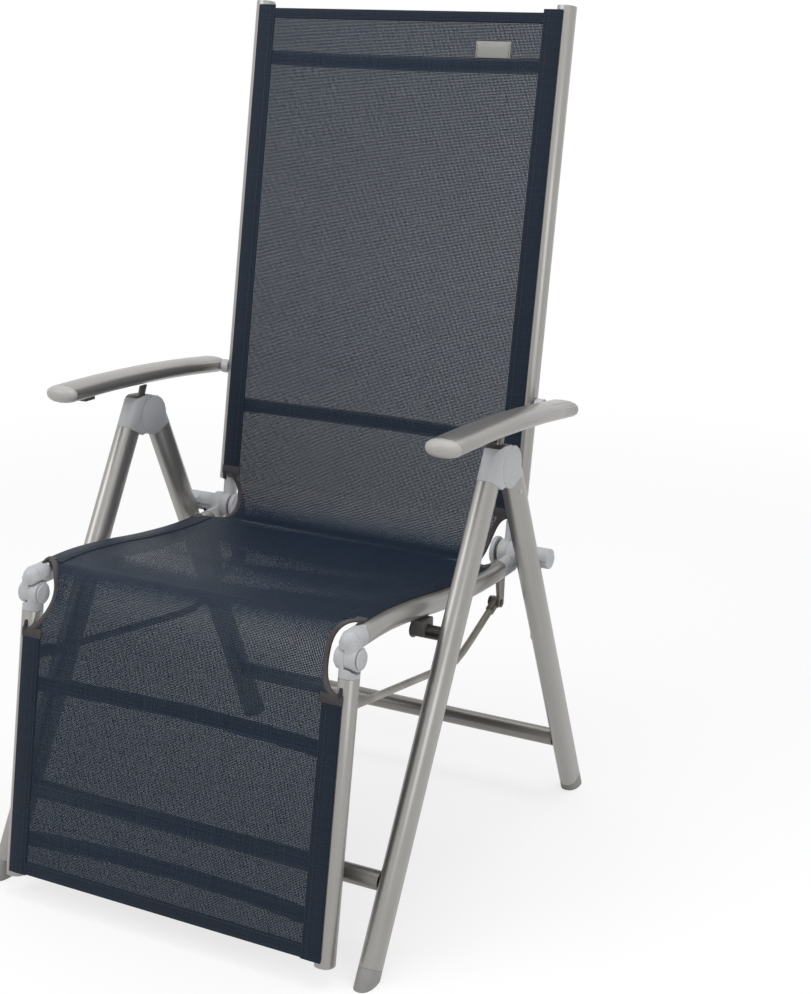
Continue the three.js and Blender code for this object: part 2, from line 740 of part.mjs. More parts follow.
function pushRod(side) {
  const rear = towardBend(leverPin);
  const front = towardBend(bracketPin);
  const rod = sweepInPlane(roundSection(rodDiameter), side, rodMid, [
    along(leverPin, rear, rodSocketLength / 2),
    along(rodBend, rear, -3 * rodDiameter),
    along(along(rodBend, rear, -rodDiameter / 2), front, -rodDiameter / 2),
    along(rodBend, front, -3 * rodDiameter),
    along(bracketPin, front, rodSocketLength / 2),
  ], rodSteps);
  const bores = [leverPin, bracketPin].map(
    (pin) => disc(pin, linkBore, side, rodInner - overrun, rodInner + overrun),
  );
  return cut(join(rod, rodEnd(side, leverPin), rodEnd(side, bracketPin)), ...bores);
}

// Clevis end with an eye for the pin
function rodEnd(side, pin) {
  const heading = towardBend(pin);
  const eye = disc(pin, rodEndRadius, side, rodInner, rodInner + rodDiameter);
  const socket = meet(
    sweepInPlane(roundSection(rodSocketDiameter), side, rodMid, [pin, along(pin, heading, rodSocketLength)]),
    prism(linkOutline(pin, rodSocketDiameter, along(pin, heading, 2 * rodSocketLength), rodSocketDiameter),
      side, rodInner, rodInner + rodDiameter),
  );
  return join(eye, socket);
}

addPair('rod_bracket', rodBracket, 'steel');
addPair('push_rod', pushRod, 'steel');

// Headed pin through the lever and the rod's rear eye
function rodPin(side) {
  const headOuter = rodInner - gap;
  const headInner = headOuter - linkHeadThickness;
  return join(
    disc(leverPin, linkPinRadius, side, headInner, leverOuter - gap),
    disc(leverPin, linkHeadRadius, side, headInner, headOuter),
  );
}

addPair('rod_pin', rodPin, 'steel');

// Armrests
const spacerInner = railOuter + gap;
const armrestInner = spacerInner + spacerLength + gap;
const armrestMid = armrestInner + armrestWidth / 2;
const armrestPlaces = [-armrestTailShare, 0.2, 0.4, 0.6, 0.8, 1].map(armrestCentre);
const armrestPath = new THREE.CatmullRomCurve3(armrestPlaces.map((place) => inPlane(1, armrestMid, place)));
const armrestFrontHeading = headingAt(armrestPath, 1);
const armrestRearHeading = headingAt(armrestPath, 0).negate();

// Domed end with a plug that fits inside the armrest's oval tube
function armrestCap(side, seam, outward) {
  const plugSection = ovalSection(
    armrestWidth - 2 * (armrestWall + gap), armrestDepth - 2 * (armrestWall + gap),
  );
  const layers = [[0, 1], [0.45, 0.93], [0.8, 0.72], [1, 0.4]];
  const rings = layers.map(([reachShare, sizeShare]) => {
    const centre = inPlane(side, armrestMid, along(seam, outward, gap + reachShare * armrestCapLength));
    const across = new THREE.Vector3(0, outward.y, -outward.x);
    return ovalPoints(armrestWidth * sizeShare, armrestDepth * sizeShare).map(
      (place) => centre.clone().add(new THREE.Vector3(place.x, 0, 0)).addScaledVector(across, place.y),
    );
  });
  const dome = loft(rings);
  const plug = sweepInPlane(plugSection, side, armrestMid, [
    along(seam, outward, -plugLength / 2), along(seam, outward, 2 * gap),
  ]);
  return join(dome, plug);
}

// Closed skin through rings of equal count, with fans at both ends
function loft(rings) {
  const count = rings[0].length;
  const positions = rings.flat().flatMap((place) => [place.x, place.y, place.z]);
  const index = [];
  for (let ring = 0; ring + 1 < rings.length; ring += 1) {
    for (let i = 0; i < count; i += 1) {
      const a = ring * count + i;
      const b = ring * count + ((i + 1) % count);
      index.push(a, b, b + count, a, b + count, a + count);
    }
  }
  const last = (rings.length - 1) * count;
  for (let i = 1; i + 1 < count; i += 1) {
    index.push(0, i + 1, i, last, last + i, last + i + 1);
  }
  const geometry = new THREE.BufferGeometry();
  geometry.setAttribute('position', new THREE.Float32BufferAttribute(positions, 3));
  geometry.setIndex(index);
  return geometry;
}

function armrestTube(side) {
  const rearEnd = along(armrestPlaces[0], armrestRearHeading, -armrestWall);
  const rearCap = armrestCap(side, rearEnd, armrestRearHeading);
  const tube = sweepInPlane(
    ovalSection(armrestWidth, armrestDepth, armrestWall), side, armrestMid, armrestPlaces, bowSteps,
  );
  const bore = disc(armrestPivot, armrestBoltRadius + runningGap, side, railOuter, armrestMid);
  const headFrom = armrestInner + armrestWall + gap;
  const pocket = disc(armrestPivot, boltHeadRadius + gap, side, headFrom, headFrom + boltHeadHeight + 2 * gap);
  return cut(join(tube, stopBlock(side), rearCap), bore, pocket, ...catchSlots(side));
}

// Stop block under the front of the armrest
function stopBlock(side) {
  const under = -armrestDepth / 2;
  const edge = (across) => stopShares.map(
    (share) => offset(armrestCentre(share), armrestHeading(share), 0, under + across),
  );
  const outline = [...edge(2 * armrestWall), ...edge(-stopDepth).reverse()];
  return prism(outline, side, legMid - stopWidth / 2, legMid + stopWidth / 2);
}

// Slots in the armrest's underside, which the latch tooth catches
function catchSlots(side) {
  const under = -armrestDepth / 2;
  return catchSlotShares.map((share) => {
    const local = (distance, across) => offset(
      armrestCentre(share), armrestHeading(share), distance, under + across,
    );
    return prism([
      local(-catchSlotLength / 2, -2 * armrestWall),
      local(-catchSlotLength / 2, 3 * armrestWall),
      local(catchSlotLength / 2, 3 * armrestWall),
      local(catchSlotLength / 2, -2 * armrestWall),
    ], side, legMid - catchSlotWidth / 2, legMid + catchSlotWidth / 2);
  });
}

function armrestBolt(side) {
  const headFrom = armrestInner + armrestWall + 2 * gap;
  const shank = disc(armrestPivot, armrestBoltRadius, side, railInner + railWall, headFrom + boltHeadHeight / 2);
  const head = disc(armrestPivot, boltHeadRadius, side, headFrom, headFrom + boltHeadHeight);
  return join(shank, head);
}

function spacer(side) {
  return disc(armrestPivot, spacerRadius, side, spacerInner, spacerInner + spacerLength,
    armrestBoltRadius + runningGap);
}

addPair('armrest', armrestTube, 'aluminium');
addPair('armrest_front_cap', (side) => armrestCap(side, armrestCentre(1), armrestFrontHeading), 'lightPlastic');
addPair('armrest_spacer', spacer, 'greyPlastic');
addPair('armrest_bolt', armrestBolt, 'steel');

// Sling: one fabric, held in front of the rails
const slingNear = railDepth / 2 + gap;
const slingFar = slingNear + slingThickness;

function sheet(places, headings, near, far, halfWidth) {
  const outer = places.map((place, i) => offset(place, headings[i], 0, -far));
  const inner = places.map((place, i) => offset(place, headings[i], 0, -near));
  return prism([...outer, ...inner.reverse()], 1, -halfWidth, halfWidth);
}

const backSheetLow = hipFabricStart;
const backSheetTop = backLength - slingTopMargin;
addMesh('sling_back', sheet(
  [onBackRail(backSheetLow), onBackRail(backSheetTop)], [backUp, backUp], slingNear, slingFar, slingHalfWidth,
), 'mesh');

const seatShares = Array.from({ length: sheetSteps + 1 }, (_, i) => 0.015 + (0.9 * i) / sheetSteps);
addMesh('sling_seat', sheet(
  seatShares.map(seatRailCentre), seatShares.map(seatRailHeading), slingNear, slingFar, slingHalfWidth,
), 'mesh');

const legRestUp = legRestDown.clone().negate();
addMesh('sling_leg_rest', sheet(
  [onLegRest(legRestLength - slingLowMargin), onLegRest(kneeFabricStart)],
  [legRestUp, legRestUp], slingNear, slingFar, slingHalfWidth,
), 'mesh');

// Bends of the sling at the hips and knees, narrower where the fabric is cut away round the hinges
function bend(from, fromHeading, to, toHeading) {
  const reach = from.distanceTo(to) / 2;
  const curve = new THREE.CubicBezierCurve(
    from, along(from, fromHeading, reach * 0.8), along(to, toHeading, -reach * 0.8), to,
  );
  const places = curve.getPoints(sheetSteps);
  const headings = places.map((_, i) => curve.getTangent(i / sheetSteps));
  return sheet(places, headings, 0, slingThickness, slingFreeHalfWidth);
}

const last = seatShares[seatShares.length - 1];
const seatRearEdge = offset(seatRailCentre(last), seatRailHeading(last), gap, -slingNear);
const backLowEdge = offset(onBackRail(backSheetLow - gap), backUp, 0, -slingNear);
addMesh('sling_hip_bend', bend(seatRearEdge, seatRailHeading(last), backLowEdge, backUp), 'mesh');

const legRestTopEdge = offset(onLegRest(kneeFabricStart - gap), legRestUp, 0, -slingNear);
const seatFrontHeading = seatRailHeading(seatShares[0]);
const seatFrontEdge = offset(seatRailCentre(seatShares[0]), seatFrontHeading, -gap, -slingNear);
addMesh('sling_knee_bend', bend(legRestTopEdge, legRestUp, seatFrontEdge, seatFrontHeading), 'mesh');

// The origin is on the floor, under the middle of the whole chair
const bounds = new THREE.Box3().setFromObject(chair);
chair.position.set(0, -(bounds.min.y + bounds.max.y) / 2, 0);

export default chair;
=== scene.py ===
"""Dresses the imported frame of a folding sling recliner: skins, sling, fasteners, light and camera."""

import json
import logging
import math
from bisect import bisect_right
from collections.abc import Callable, Sequence
from dataclasses import dataclass, field
from enum import Enum

import bmesh
import bpy
import numpy as np
from mathutils import Matrix, Vector

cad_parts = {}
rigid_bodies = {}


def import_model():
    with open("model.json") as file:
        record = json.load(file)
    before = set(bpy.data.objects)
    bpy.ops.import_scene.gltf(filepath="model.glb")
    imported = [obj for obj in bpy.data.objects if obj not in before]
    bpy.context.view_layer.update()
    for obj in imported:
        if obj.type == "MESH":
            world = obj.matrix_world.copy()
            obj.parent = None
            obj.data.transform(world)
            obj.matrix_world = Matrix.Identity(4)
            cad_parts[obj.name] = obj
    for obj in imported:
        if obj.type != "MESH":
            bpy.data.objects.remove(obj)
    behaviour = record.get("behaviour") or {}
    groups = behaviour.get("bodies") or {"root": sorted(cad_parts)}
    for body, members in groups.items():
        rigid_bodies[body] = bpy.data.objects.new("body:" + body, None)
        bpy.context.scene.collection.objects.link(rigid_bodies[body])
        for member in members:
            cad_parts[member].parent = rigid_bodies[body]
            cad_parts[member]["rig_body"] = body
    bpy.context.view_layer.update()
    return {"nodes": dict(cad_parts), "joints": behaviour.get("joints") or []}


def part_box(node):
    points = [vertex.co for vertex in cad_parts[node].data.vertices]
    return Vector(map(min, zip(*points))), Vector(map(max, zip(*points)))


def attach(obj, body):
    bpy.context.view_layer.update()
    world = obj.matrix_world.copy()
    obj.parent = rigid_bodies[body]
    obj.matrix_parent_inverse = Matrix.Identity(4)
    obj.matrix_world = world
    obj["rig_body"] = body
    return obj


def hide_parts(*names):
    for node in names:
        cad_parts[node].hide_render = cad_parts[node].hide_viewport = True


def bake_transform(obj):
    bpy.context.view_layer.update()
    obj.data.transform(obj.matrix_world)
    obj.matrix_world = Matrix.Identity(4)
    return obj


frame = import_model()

LOG = logging.getLogger("recliner")
MM = 0.001

Colour = tuple[float, float, float, float]
Place = tuple[float, float]
Spot = tuple[str, Vector, int]
WHITE: Colour = (1, 1, 1, 1)
TINY = 1e-9


def paint(red: int, green: int, blue: int) -> Colour:
    """Returns the linear colour of an 8-bit screen colour."""
    def linear(value: int) -> float:
        """Returns the linear value of one channel."""
        share = value / 255
        return share / 12.92 if share <= 0.04045 else ((share + 0.055) / 1.055) ** 2.4

    return (linear(red), linear(green), linear(blue), 1.0)


class Slot(Enum):
    """The record's material slots."""

    TUBE = "aluminium_tube"
    PLASTIC = "light_grey_plastic"
    SHOE = "mid_grey_plastic"
    STEEL = "grey_steel"
    MESH = "mesh_fabric"


class Side(Enum):
    """The sitter's left and right, with the sign of X."""

    LEFT = 1
    RIGHT = -1

    @property
    def word(self) -> str:
        """Returns the side's name in a piece name."""
        return self.name.lower()


# Shader graphs


class Sock:
    """One output socket, on which arithmetic adds Math nodes."""

    def __init__(self, graph: "Graph", socket: bpy.types.NodeSocket) -> None:
        """Keeps the graph and the socket."""
        self.graph = graph
        self.socket = socket

    def output(self, name: str | int) -> "Sock":
        """Returns another output of the same node."""
        return Sock(self.graph, self.socket.node.outputs[name])

    def math(self, operation: str, *others: "Sock | float", first: "Sock | float | None" = None) -> "Sock":
        """Adds a Math node.

        Args:
            operation: The Math node's operation.
            others: The values after this one.
            first: A value that stands before this one, for reflected operators.

        Returns:
            The node's output.
        """
        terms = [self, *others] if first is None else [first, self]
        return self.graph.node("ShaderNodeMath", {"operation": operation}, dict(enumerate(terms)))

    def __add__(self, other: "Sock | float") -> "Sock":
        """Returns the sum."""
        return self.math("ADD", other)

    __radd__ = __add__

    def __sub__(self, other: "Sock | float") -> "Sock":
        """Returns the difference."""
        return self.math("SUBTRACT", other)

    def __rsub__(self, other: float) -> "Sock":
        """Returns a number less this value."""
        return self.math("SUBTRACT", first=other)

    def __mul__(self, other: "Sock | float") -> "Sock":
        """Returns the product."""
        return self.math("MULTIPLY", other)

    __rmul__ = __mul__

    def __truediv__(self, other: "Sock | float") -> "Sock":
        """Returns the quotient."""
        return self.math("DIVIDE", other)

    def __rtruediv__(self, other: float) -> "Sock":
        """Returns a number over this value."""
        return self.math("DIVIDE", first=other)

    def __lt__(self, other: "Sock | float") -> "Sock":
        """Returns 1 where this value is less."""
        return self.math("LESS_THAN", other)

    def __gt__(self, other: "Sock | float") -> "Sock":
        """Returns 1 where this value is greater."""
        return self.math("GREATER_THAN", other)

    def __abs__(self) -> "Sock":
        """Returns the value without its sign."""
        return self.math("ABSOLUTE")

    def __mod__(self, other: float) -> "Sock":
        """Returns the remainder, never below zero."""
        return self.math("FLOORED_MODULO", other)


class Graph:
    """The node tree of one material or of the world."""

    def __init__(self, tree: bpy.types.NodeTree) -> None:
        """Takes the tree and empties it."""
        self.tree = tree
        self.tree.nodes.clear()

    def node(
        self,
        kind: str,
        settings: dict[str, object] | None = None,
        values: dict[str | int, object] | None = None,
        out: str | int | None = 0,
    ) -> Sock | None:
        """Adds a node, sets it and links it.

        Args:
            kind: The node's type.
            settings: Its properties, set first. stops gives a ramp's positions and colours.
            values: A value or a link for each named or numbered input.
            out: The output to return, or None.

        Returns:
            The chosen output, or None.
        """
        made = self.tree.nodes.new(kind)
        for key, value in (settings or {}).items():
            if key == "stops":
                ramp = made.color_ramp.elements
                while len(ramp) < len(value):
                    ramp.new(0.5)
                for stop, (position, colour) in zip(ramp, value):
                    stop.position, stop.color = position, colour
            else:
                setattr(made, key, value)
        for key, value in (values or {}).items():
            if isinstance(value, Sock):
                self.tree.links.new(value.socket, made.inputs[key])
            else:
                made.inputs[key].default_value = value
        return None if out is None else Sock(self, made.outputs[out])

    def place(self) -> Sock:
        """Returns Object coordinates."""
        return self.node("ShaderNodeTexCoord", out="Object")

    def attribute(self, name: str, out: str = "Fac") -> Sock:
        """Returns a mesh attribute's value or vector."""
        return self.node("ShaderNodeAttribute", {"attribute_name": name}, out=out)

    def noise(self, where: Sock, scale: float, detail: float = 2.0) -> Sock:
        """Returns a noise value near a half at the given scale."""
        values = {"Vector": where, "Scale": scale, "Detail": detail, "Roughness": 0.55}
        return self.node("ShaderNodeTexNoise", None, values, "Fac")

    def ramp(self, value: Sock, low: float, high: float) -> Sock:
        """Returns a value that rises smoothly from 0 at low to 1 at high."""
        return self.node(
            "ShaderNodeMapRange",
            {"interpolation_type": "SMOOTHSTEP"},
            {"Value": value, "From Min": low, "From Max": high},
        )

    def mix(self, first: "Colour | Sock", second: "Colour | Sock", share: Sock) -> Sock:
        """Returns a mix of two colours."""
        return self.node("ShaderNodeMix", {"data_type": "RGBA"}, {0: share, 6: first, 7: second}, 2)

    def bump(self, height: Sock, distance: float, strength: float = 1.0) -> Sock:
        """Returns a normal that follows a height."""
        values = {"Height": height, "Distance": distance, "Strength": strength}
        return self.node("ShaderNodeBump", None, values, "Normal")

    def cloth(self) -> tuple[Sock, Sock]:
        """Returns the place on the cloth in metres, across and along."""
        where = self.node("ShaderNodeUVMap", {"uv_map": "cloth"})
        across = self.node("ShaderNodeSeparateXYZ", None, {"Vector": where}, "X")
        return across, across.output("Y")

    def direct(self) -> Sock:
        """Returns 1 for what the camera, gloss and clear pieces see, and 0 for light on the object."""
        camera = self.node("ShaderNodeLightPath", out="Is Camera Ray")
        glossy, through = camera.output("Is Glossy Ray"), camera.output("Is Transmission Ray")
        return camera.math("MAXIMUM", glossy).math("MAXIMUM", through)

    def finish(self, values: dict[str | int, object]) -> None:
        """Ends the material in one Principled shader."""
        shader = self.node("ShaderNodeBsdfPrincipled", None, values, "BSDF")
        self.node("ShaderNodeOutputMaterial", None, {"Surface": shader}, None)


# Finishes


@dataclass(frozen=True)
class Finish:
    """A named surface finish."""

    name: str

    def build(self, graph: Graph) -> None:
        """Adds the finish's nodes to its graph."""
        raise NotImplementedError

    def material(self) -> bpy.types.Material:
        """Returns the finish's material, made the first time it is asked for."""
        known = bpy.data.materials.get(self.name)
        if known:
            return known
        made = bpy.data.materials.new(self.name)
        made.use_nodes = True
        self.build(Graph(made.node_tree))
        return made


@dataclass(frozen=True)
class SatinTube(Finish):
    """Satin lacquer on drawn aluminium: faint lengthways lines, a soft cloudiness and paler edges, partly
    rubbed wear and partly a painted highlight.
    """

    colour: Colour
    shade: Colour
    worn: Colour
    metallic: float = 0.72
    roughness: float = 0.34
    drawn_scale: float = 1500.0
    streak_scale: float = 260.0
    cloud_scale: float = 9.0
    peel_scale: float = 1300.0
    scuff_scale: float = 60.0
    relief: float = 0.00004
    coat: float = 0.12

    def build(self, graph: Graph) -> None:
        """Adds the lacquer's nodes."""
        place = graph.place()
        lengthways = graph.attribute("lengthways", "Vector")
        drawn = graph.noise(lengthways, self.drawn_scale, 1.0)
        streak = graph.noise(lengthways, self.streak_scale, 3.0)
        cloud = graph.noise(place, self.cloud_scale, 3.0)
        peel = graph.noise(place, self.peel_scale, 1.0)
        edge = graph.attribute("edge")
        body = graph.mix(self.colour, self.shade, graph.ramp(cloud * 0.6 + streak * 0.4, 0.3, 0.75) * 0.5)
        patches = graph.ramp(graph.noise(place, self.scuff_scale, 4.0), 0.35, 0.7)
        # Painted highlight and wear: the bevelled edges are paler in patches.
        colour = graph.mix(body, self.worn, edge * patches * 0.75)
        rough = self.roughness + (cloud - 0.5) * 0.14 + (streak - 0.5) * 0.1 - edge * 0.06
        graph.finish({
            "Base Color": colour,
            "Metallic": self.metallic,
            "Roughness": rough,
            "Normal": graph.bump(drawn * 0.6 + peel * 0.4, self.relief, 0.5),
            "Coat Weight": self.coat,
            "Coat Roughness": 0.2,
        })


@dataclass(frozen=True)
class Moulding(Finish):
    """Moulded plastic: a fine spark-eroded grain, slight flow marks and paler edges, partly rubbed wear and
    partly a painted highlight.
    """

    colour: Colour
    shade: Colour
    worn: Colour
    roughness: float = 0.46
    grain: float = 0.00005
    grain_scale: float = 1700.0
    flow_scale: float = 38.0
    cloud_scale: float = 14.0

    def build(self, graph: Graph) -> None:
        """Adds the plastic's nodes."""
        place = graph.place()
        grain = graph.noise(place, self.grain_scale, 2.0)
        flow = graph.noise(place, self.flow_scale, 3.0)
        cloud = graph.noise(place, self.cloud_scale, 2.0)
        edge = graph.attribute("edge")
        body = graph.mix(self.colour, self.shade, graph.ramp(flow * 0.5 + cloud * 0.5, 0.32, 0.72) * 0.55)
        # Painted highlight and wear: the bevelled edges are paler.
        colour = graph.mix(body, self.worn, edge * 0.6)
        rough = self.roughness + (flow - 0.5) * 0.16 - edge * 0.08
        graph.finish({
            "Base Color": colour,
            "Roughness": rough,
            "Normal": graph.bump(grain + flow * 0.4, self.grain, 0.55),
            "IOR": 1.47,
        })


@dataclass(frozen=True)
class ZincSteel(Finish):
    """Lacquered steel of the levers and rods, with blotchy plating and bright edges, partly rubbed wear and
    partly a painted highlight.
    """

    colour: Colour
    shade: Colour
    worn: Colour
    blotch_scale: float = 240.0
    cloud_scale: float = 30.0
    fine_scale: float = 900.0
    metallic: float = 0.55
    roughness: float = 0.42
    relief: float = 0.00005

    def build(self, graph: Graph) -> None:
        """Adds the steel's nodes."""
        place = graph.place()
        blotch = graph.node(
            "ShaderNodeTexVoronoi", {"feature": "SMOOTH_F1"},
            {"Vector": place, "Scale": self.blotch_scale, "Smoothness": 0.8}, "Distance",
        )
        cloud = graph.noise(place, self.cloud_scale, 4.0)
        fine = graph.noise(graph.attribute("lengthways", "Vector"), self.fine_scale, 2.0)
        edge = graph.attribute("edge")
        body = graph.mix(self.colour, self.shade, graph.ramp(cloud + blotch * 0.3, 0.42, 0.8))
        # Painted highlight and wear: the bevelled edges are brighter where the fine lines run.
        colour = graph.mix(body, self.worn, edge * graph.ramp(fine, 0.35, 0.6))
        graph.finish({
            "Base Color": colour,
            "Metallic": self.metallic,
            "Roughness": self.roughness + (cloud - 0.5) * 0.25 - edge * 0.1,
            "Normal": graph.bump(fine * 0.7 + blotch * 0.3, self.relief, 0.6),
        })


@dataclass(frozen=True)
class OpenWeave(Finish):
    """Coated yarn in a plain weave, with a hole between every four crossings."""

    thread: Colour
    glint: Colour
    deep: Colour
    pitch: float = 1.9 * MM
    hole: float = 0.36
    density: float = 0.0
    relief: float = 0.3 * MM
    warp_step: float = 1.02
    weft_step: float = 0.765

    def build(self, graph: Graph) -> None:
        """Adds the weave's nodes, on the cloth's own coordinates."""
        across, along = graph.cloth()
        a, b = across / self.pitch, along / self.pitch
        fine_a, fine_b = a % 1.0, b % 1.0
        odd = (a.math("FLOOR") + b.math("FLOOR")) % 2.0
        warp = (fine_a * math.pi).math("SINE")
        weft = (fine_b * math.pi).math("SINE")
        over = odd * warp + (1.0 - odd) * weft
        hole = abs(fine_a - 0.5).math("MINIMUM", abs(fine_b - 0.5)) > 0.5 - self.hole / 2
        yarn = graph.noise(self.line(graph, a, self.warp_step), 1.0, 1.0)
        pick = graph.noise(self.line(graph, b, self.weft_step), 1.0, 1.0)
        cloud = graph.noise(graph.place(), 6.0, 3.0)
        uneven = graph.ramp(yarn * 0.4 + pick * 0.3 + cloud * 0.3, 0.35, 0.7)
        body = graph.mix(self.thread, self.deep, uneven)
        colour = graph.mix(body, self.glint, over * graph.ramp(yarn + pick, 0.8, 1.3) * 0.7)
        graph.finish({
            "Base Color": colour,
            "Roughness": 0.62 - over * 0.16,
            "Alpha": 1.0 - hole * (1.0 - self.density),
            "Normal": graph.bump(over + hole * -1.0, self.relief, 0.8),
            "Specular IOR Level": 0.22,
            "Sheen Weight": 0.02,
            "Sheen Roughness": 0.4,
        })

    @staticmethod
    def line(graph: Graph, value: Sock, step: float) -> Sock:
        """Returns a vector that varies along one direction only, one step for each yarn."""
        return graph.node("ShaderNodeCombineXYZ", None, {"X": value.math("FLOOR") * step})


@dataclass(frozen=True)
class Tape(Finish):
    """Ribbed edge tape, woven across its length."""

    colour: Colour
    shade: Colour
    rib_pitch: float = 1.1 * MM
    fibre_scale: float = 1500.0
    cloud_scale: float = 40.0
    middle: float = 4.2 * MM
    relief: float = 0.3 * MM

    def build(self, graph: Graph) -> None:
        """Adds the tape's nodes."""
        across, along = graph.cloth()
        rib = ((along / self.rib_pitch) % 1.0 * math.pi).math("SINE")
        fibre = graph.noise(graph.place(), self.fibre_scale, 2.0)
        cloud = graph.noise(graph.place(), self.cloud_scale, 3.0)
        selvedge = graph.ramp(abs(across - self.middle), 2.6 * MM, 3.6 * MM)
        body = graph.mix(self.colour, self.shade, graph.ramp(cloud * 0.5 + fibre * 0.5, 0.35, 0.65))
        # The selvedges are darker, and the valleys between the ribs get painted shade.
        colour = graph.mix(body, self.shade, selvedge * 0.5 + (1.0 - rib) * 0.4)
        graph.finish({
            "Base Color": colour,
            "Roughness": 0.8 - rib * 0.1,
            "Normal": graph.bump(rib * 0.7 + fibre * 0.3, self.relief, 0.7),
            "Sheen Weight": 0.15,
        })


@dataclass(frozen=True)
class SewingThread(Finish):
    """Twisted polyester thread."""

    colour: Colour
    shade: Colour
    twist_scale: float = 2400.0

    def build(self, graph: Graph) -> None:
        """Adds the thread's nodes."""
        twist = graph.noise(graph.place(), self.twist_scale, 2.0)
        graph.finish({
            "Base Color": graph.mix(self.colour, self.shade, graph.ramp(twist, 0.35, 0.65)),
            "Roughness": 0.55 + (twist - 0.5) * 0.2,
            "Normal": graph.bump(twist, 0.0001, 0.6),
        })


@dataclass(frozen=True)
class Backdrop(Finish):
    """A pale floor that shows white to the camera and keeps a soft shadow."""

    colour: Colour
    keep: float = 0.32
    grey: float = 0.9
    fade_from: float = 1.2
    fade_to: float = 2.6

    def build(self, graph: Graph) -> None:
        """Adds the floor's nodes: lit paint for the lamps, and paint with an even white for views."""
        place = graph.place()
        reach = graph.node("ShaderNodeVectorMath", {"operation": "LENGTH"}, {0: place}, "Value")
        grain = graph.noise(place, 300.0, 2.0)
        lit = graph.node("ShaderNodeBsdfDiffuse", None, {"Color": self.colour, "Roughness": 0.4})
        thin = graph.node("ShaderNodeBsdfDiffuse", None, {
            "Color": (self.keep, self.keep, self.keep, 1.0),
            "Normal": graph.bump(grain, 0.0002, 0.1),
        })
        even = 1.0 - self.keep * self.grey
        glow = graph.node("ShaderNodeEmission", None, {"Color": WHITE, "Strength": even})
        near = graph.node("ShaderNodeAddShader", None, {0: thin, 1: glow})
        white = graph.node("ShaderNodeEmission", None, {"Color": WHITE, "Strength": 1.0})
        far = graph.ramp(reach, self.fade_from, self.fade_to)
        seen = graph.node("ShaderNodeMixShader", None, {0: far, 1: near, 2: white})
        surface = graph.node("ShaderNodeMixShader", None, {0: graph.direct(), 1: lit, 2: seen})
        graph.node("ShaderNodeOutputMaterial", None, {"Surface": surface}, None)


TUBE = SatinTube(
    "satin_champagne_lacquer", paint(160, 158, 155), paint(144, 142, 139), paint(196, 195, 192),
)
# The bars' lacquer is the tubes' lacquer made darker: painted shade.
SHADED_BAR = SatinTube(
    "satin_champagne_lacquer_bars", paint(132, 129, 125), paint(117, 114, 110), paint(170, 168, 164),
)
PLASTIC = Moulding("light_grey_moulding", paint(190, 192, 195), paint(177, 179, 183), paint(212, 213, 215))
ARM_CAP = Moulding(
    "pale_champagne_moulding", paint(184, 183, 180), paint(170, 169, 166), paint(207, 206, 204), 0.38,
)
SHOE = Moulding("mid_grey_moulding", paint(150, 149, 147), paint(133, 132, 130), paint(172, 171, 169), 0.5)
RACK = Moulding("dark_grey_moulding", paint(96, 95, 94), paint(78, 77, 77), paint(126, 125, 124), 0.5)
STEEL = ZincSteel("grey_brown_steel", paint(122, 116, 110), paint(98, 93, 89), paint(160, 155, 148))
ROD = ZincSteel("pale_lacquered_rod", paint(164, 160, 152), paint(146, 141, 134), paint(192, 188, 181))
BRIGHT = ZincSteel("bright_rivet", paint(196, 194, 190), paint(160, 157, 152), paint(232, 231, 229))
DARK_STEEL = ZincSteel("dark_steel", paint(74, 70, 68), paint(56, 53, 52), paint(104, 100, 96))
MESH = OpenWeave("navy_open_weave", paint(14, 30, 47), paint(40, 60, 83), paint(8, 21, 36))
HEM = OpenWeave(
    "navy_doubled_weave", paint(11, 25, 41), paint(32, 50, 72), paint(7, 17, 30), hole=0.3, density=1.0,
)
TAPE = Tape("grey_brown_tape", paint(80, 73, 74), paint(52, 47, 50))
BINDING = Tape("dark_brown_binding", paint(68, 62, 64), paint(42, 39, 43))
CORD = Tape("dark_edge_cord", paint(34, 31, 32), paint(18, 17, 19))
THREAD = SewingThread("navy_thread", paint(20, 28, 44), paint(44, 54, 76))
LABEL = Tape("plain_grey_label", paint(168, 168, 163), paint(146, 146, 142))
FLOOR = Backdrop("studio_floor", paint(232, 232, 230))


# Blender's tools, with the selection set in code


def begin_edit(piece: bpy.types.Object) -> None:
    """Makes the piece active and alone selected, and opens edit mode with nothing selected."""
    bpy.ops.object.select_all(action="DESELECT")
    piece.select_set(True)
    bpy.context.view_layer.objects.active = piece
    bpy.ops.object.mode_set(mode="EDIT")
    bpy.ops.mesh.select_mode(type="FACE")
    bpy.ops.mesh.select_all(action="DESELECT")


def end_edit() -> None:
    """Closes edit mode."""
    bpy.ops.object.mode_set(mode="OBJECT")


def pick_faces(piece: bpy.types.Object, wanted: Callable[[Vector, Vector], bool]) -> int:
    """Selects the faces that a test wants, in edit mode.

    Args:
        piece: The piece in edit mode.
        wanted: A test of a face's centre and normal.

    Returns:
        How many faces were selected.
    """
    shape = bmesh.from_edit_mesh(piece.data)
    found = 0
    for face in shape.faces:
        face.select_set(bool(wanted(face.calc_center_median(), face.normal)))
        found += face.select
    shape.select_flush(True)
    bmesh.update_edit_mesh(piece.data)
    return found


def put_modifier(piece: bpy.types.Object, kind: str, **settings: object) -> None:
    """Adds a modifier to the piece and applies it."""
    bpy.ops.object.select_all(action="DESELECT")
    piece.select_set(True)
    bpy.context.view_layer.objects.active = piece
    made = piece.modifiers.new(kind.title(), kind)
    for key, value in settings.items():
        setattr(made, key, value)
    bpy.ops.object.modifier_apply(modifier=made.name)


def smooth(piece: bpy.types.Object, degrees: float = 40.0) -> None:
    """Shades the piece smoothly up to an angle between its faces."""
    bpy.ops.object.select_all(action="DESELECT")
    piece.select_set(True)
    bpy.context.view_layer.objects.active = piece
    bpy.ops.object.shade_smooth_by_angle(angle=math.radians(degrees))


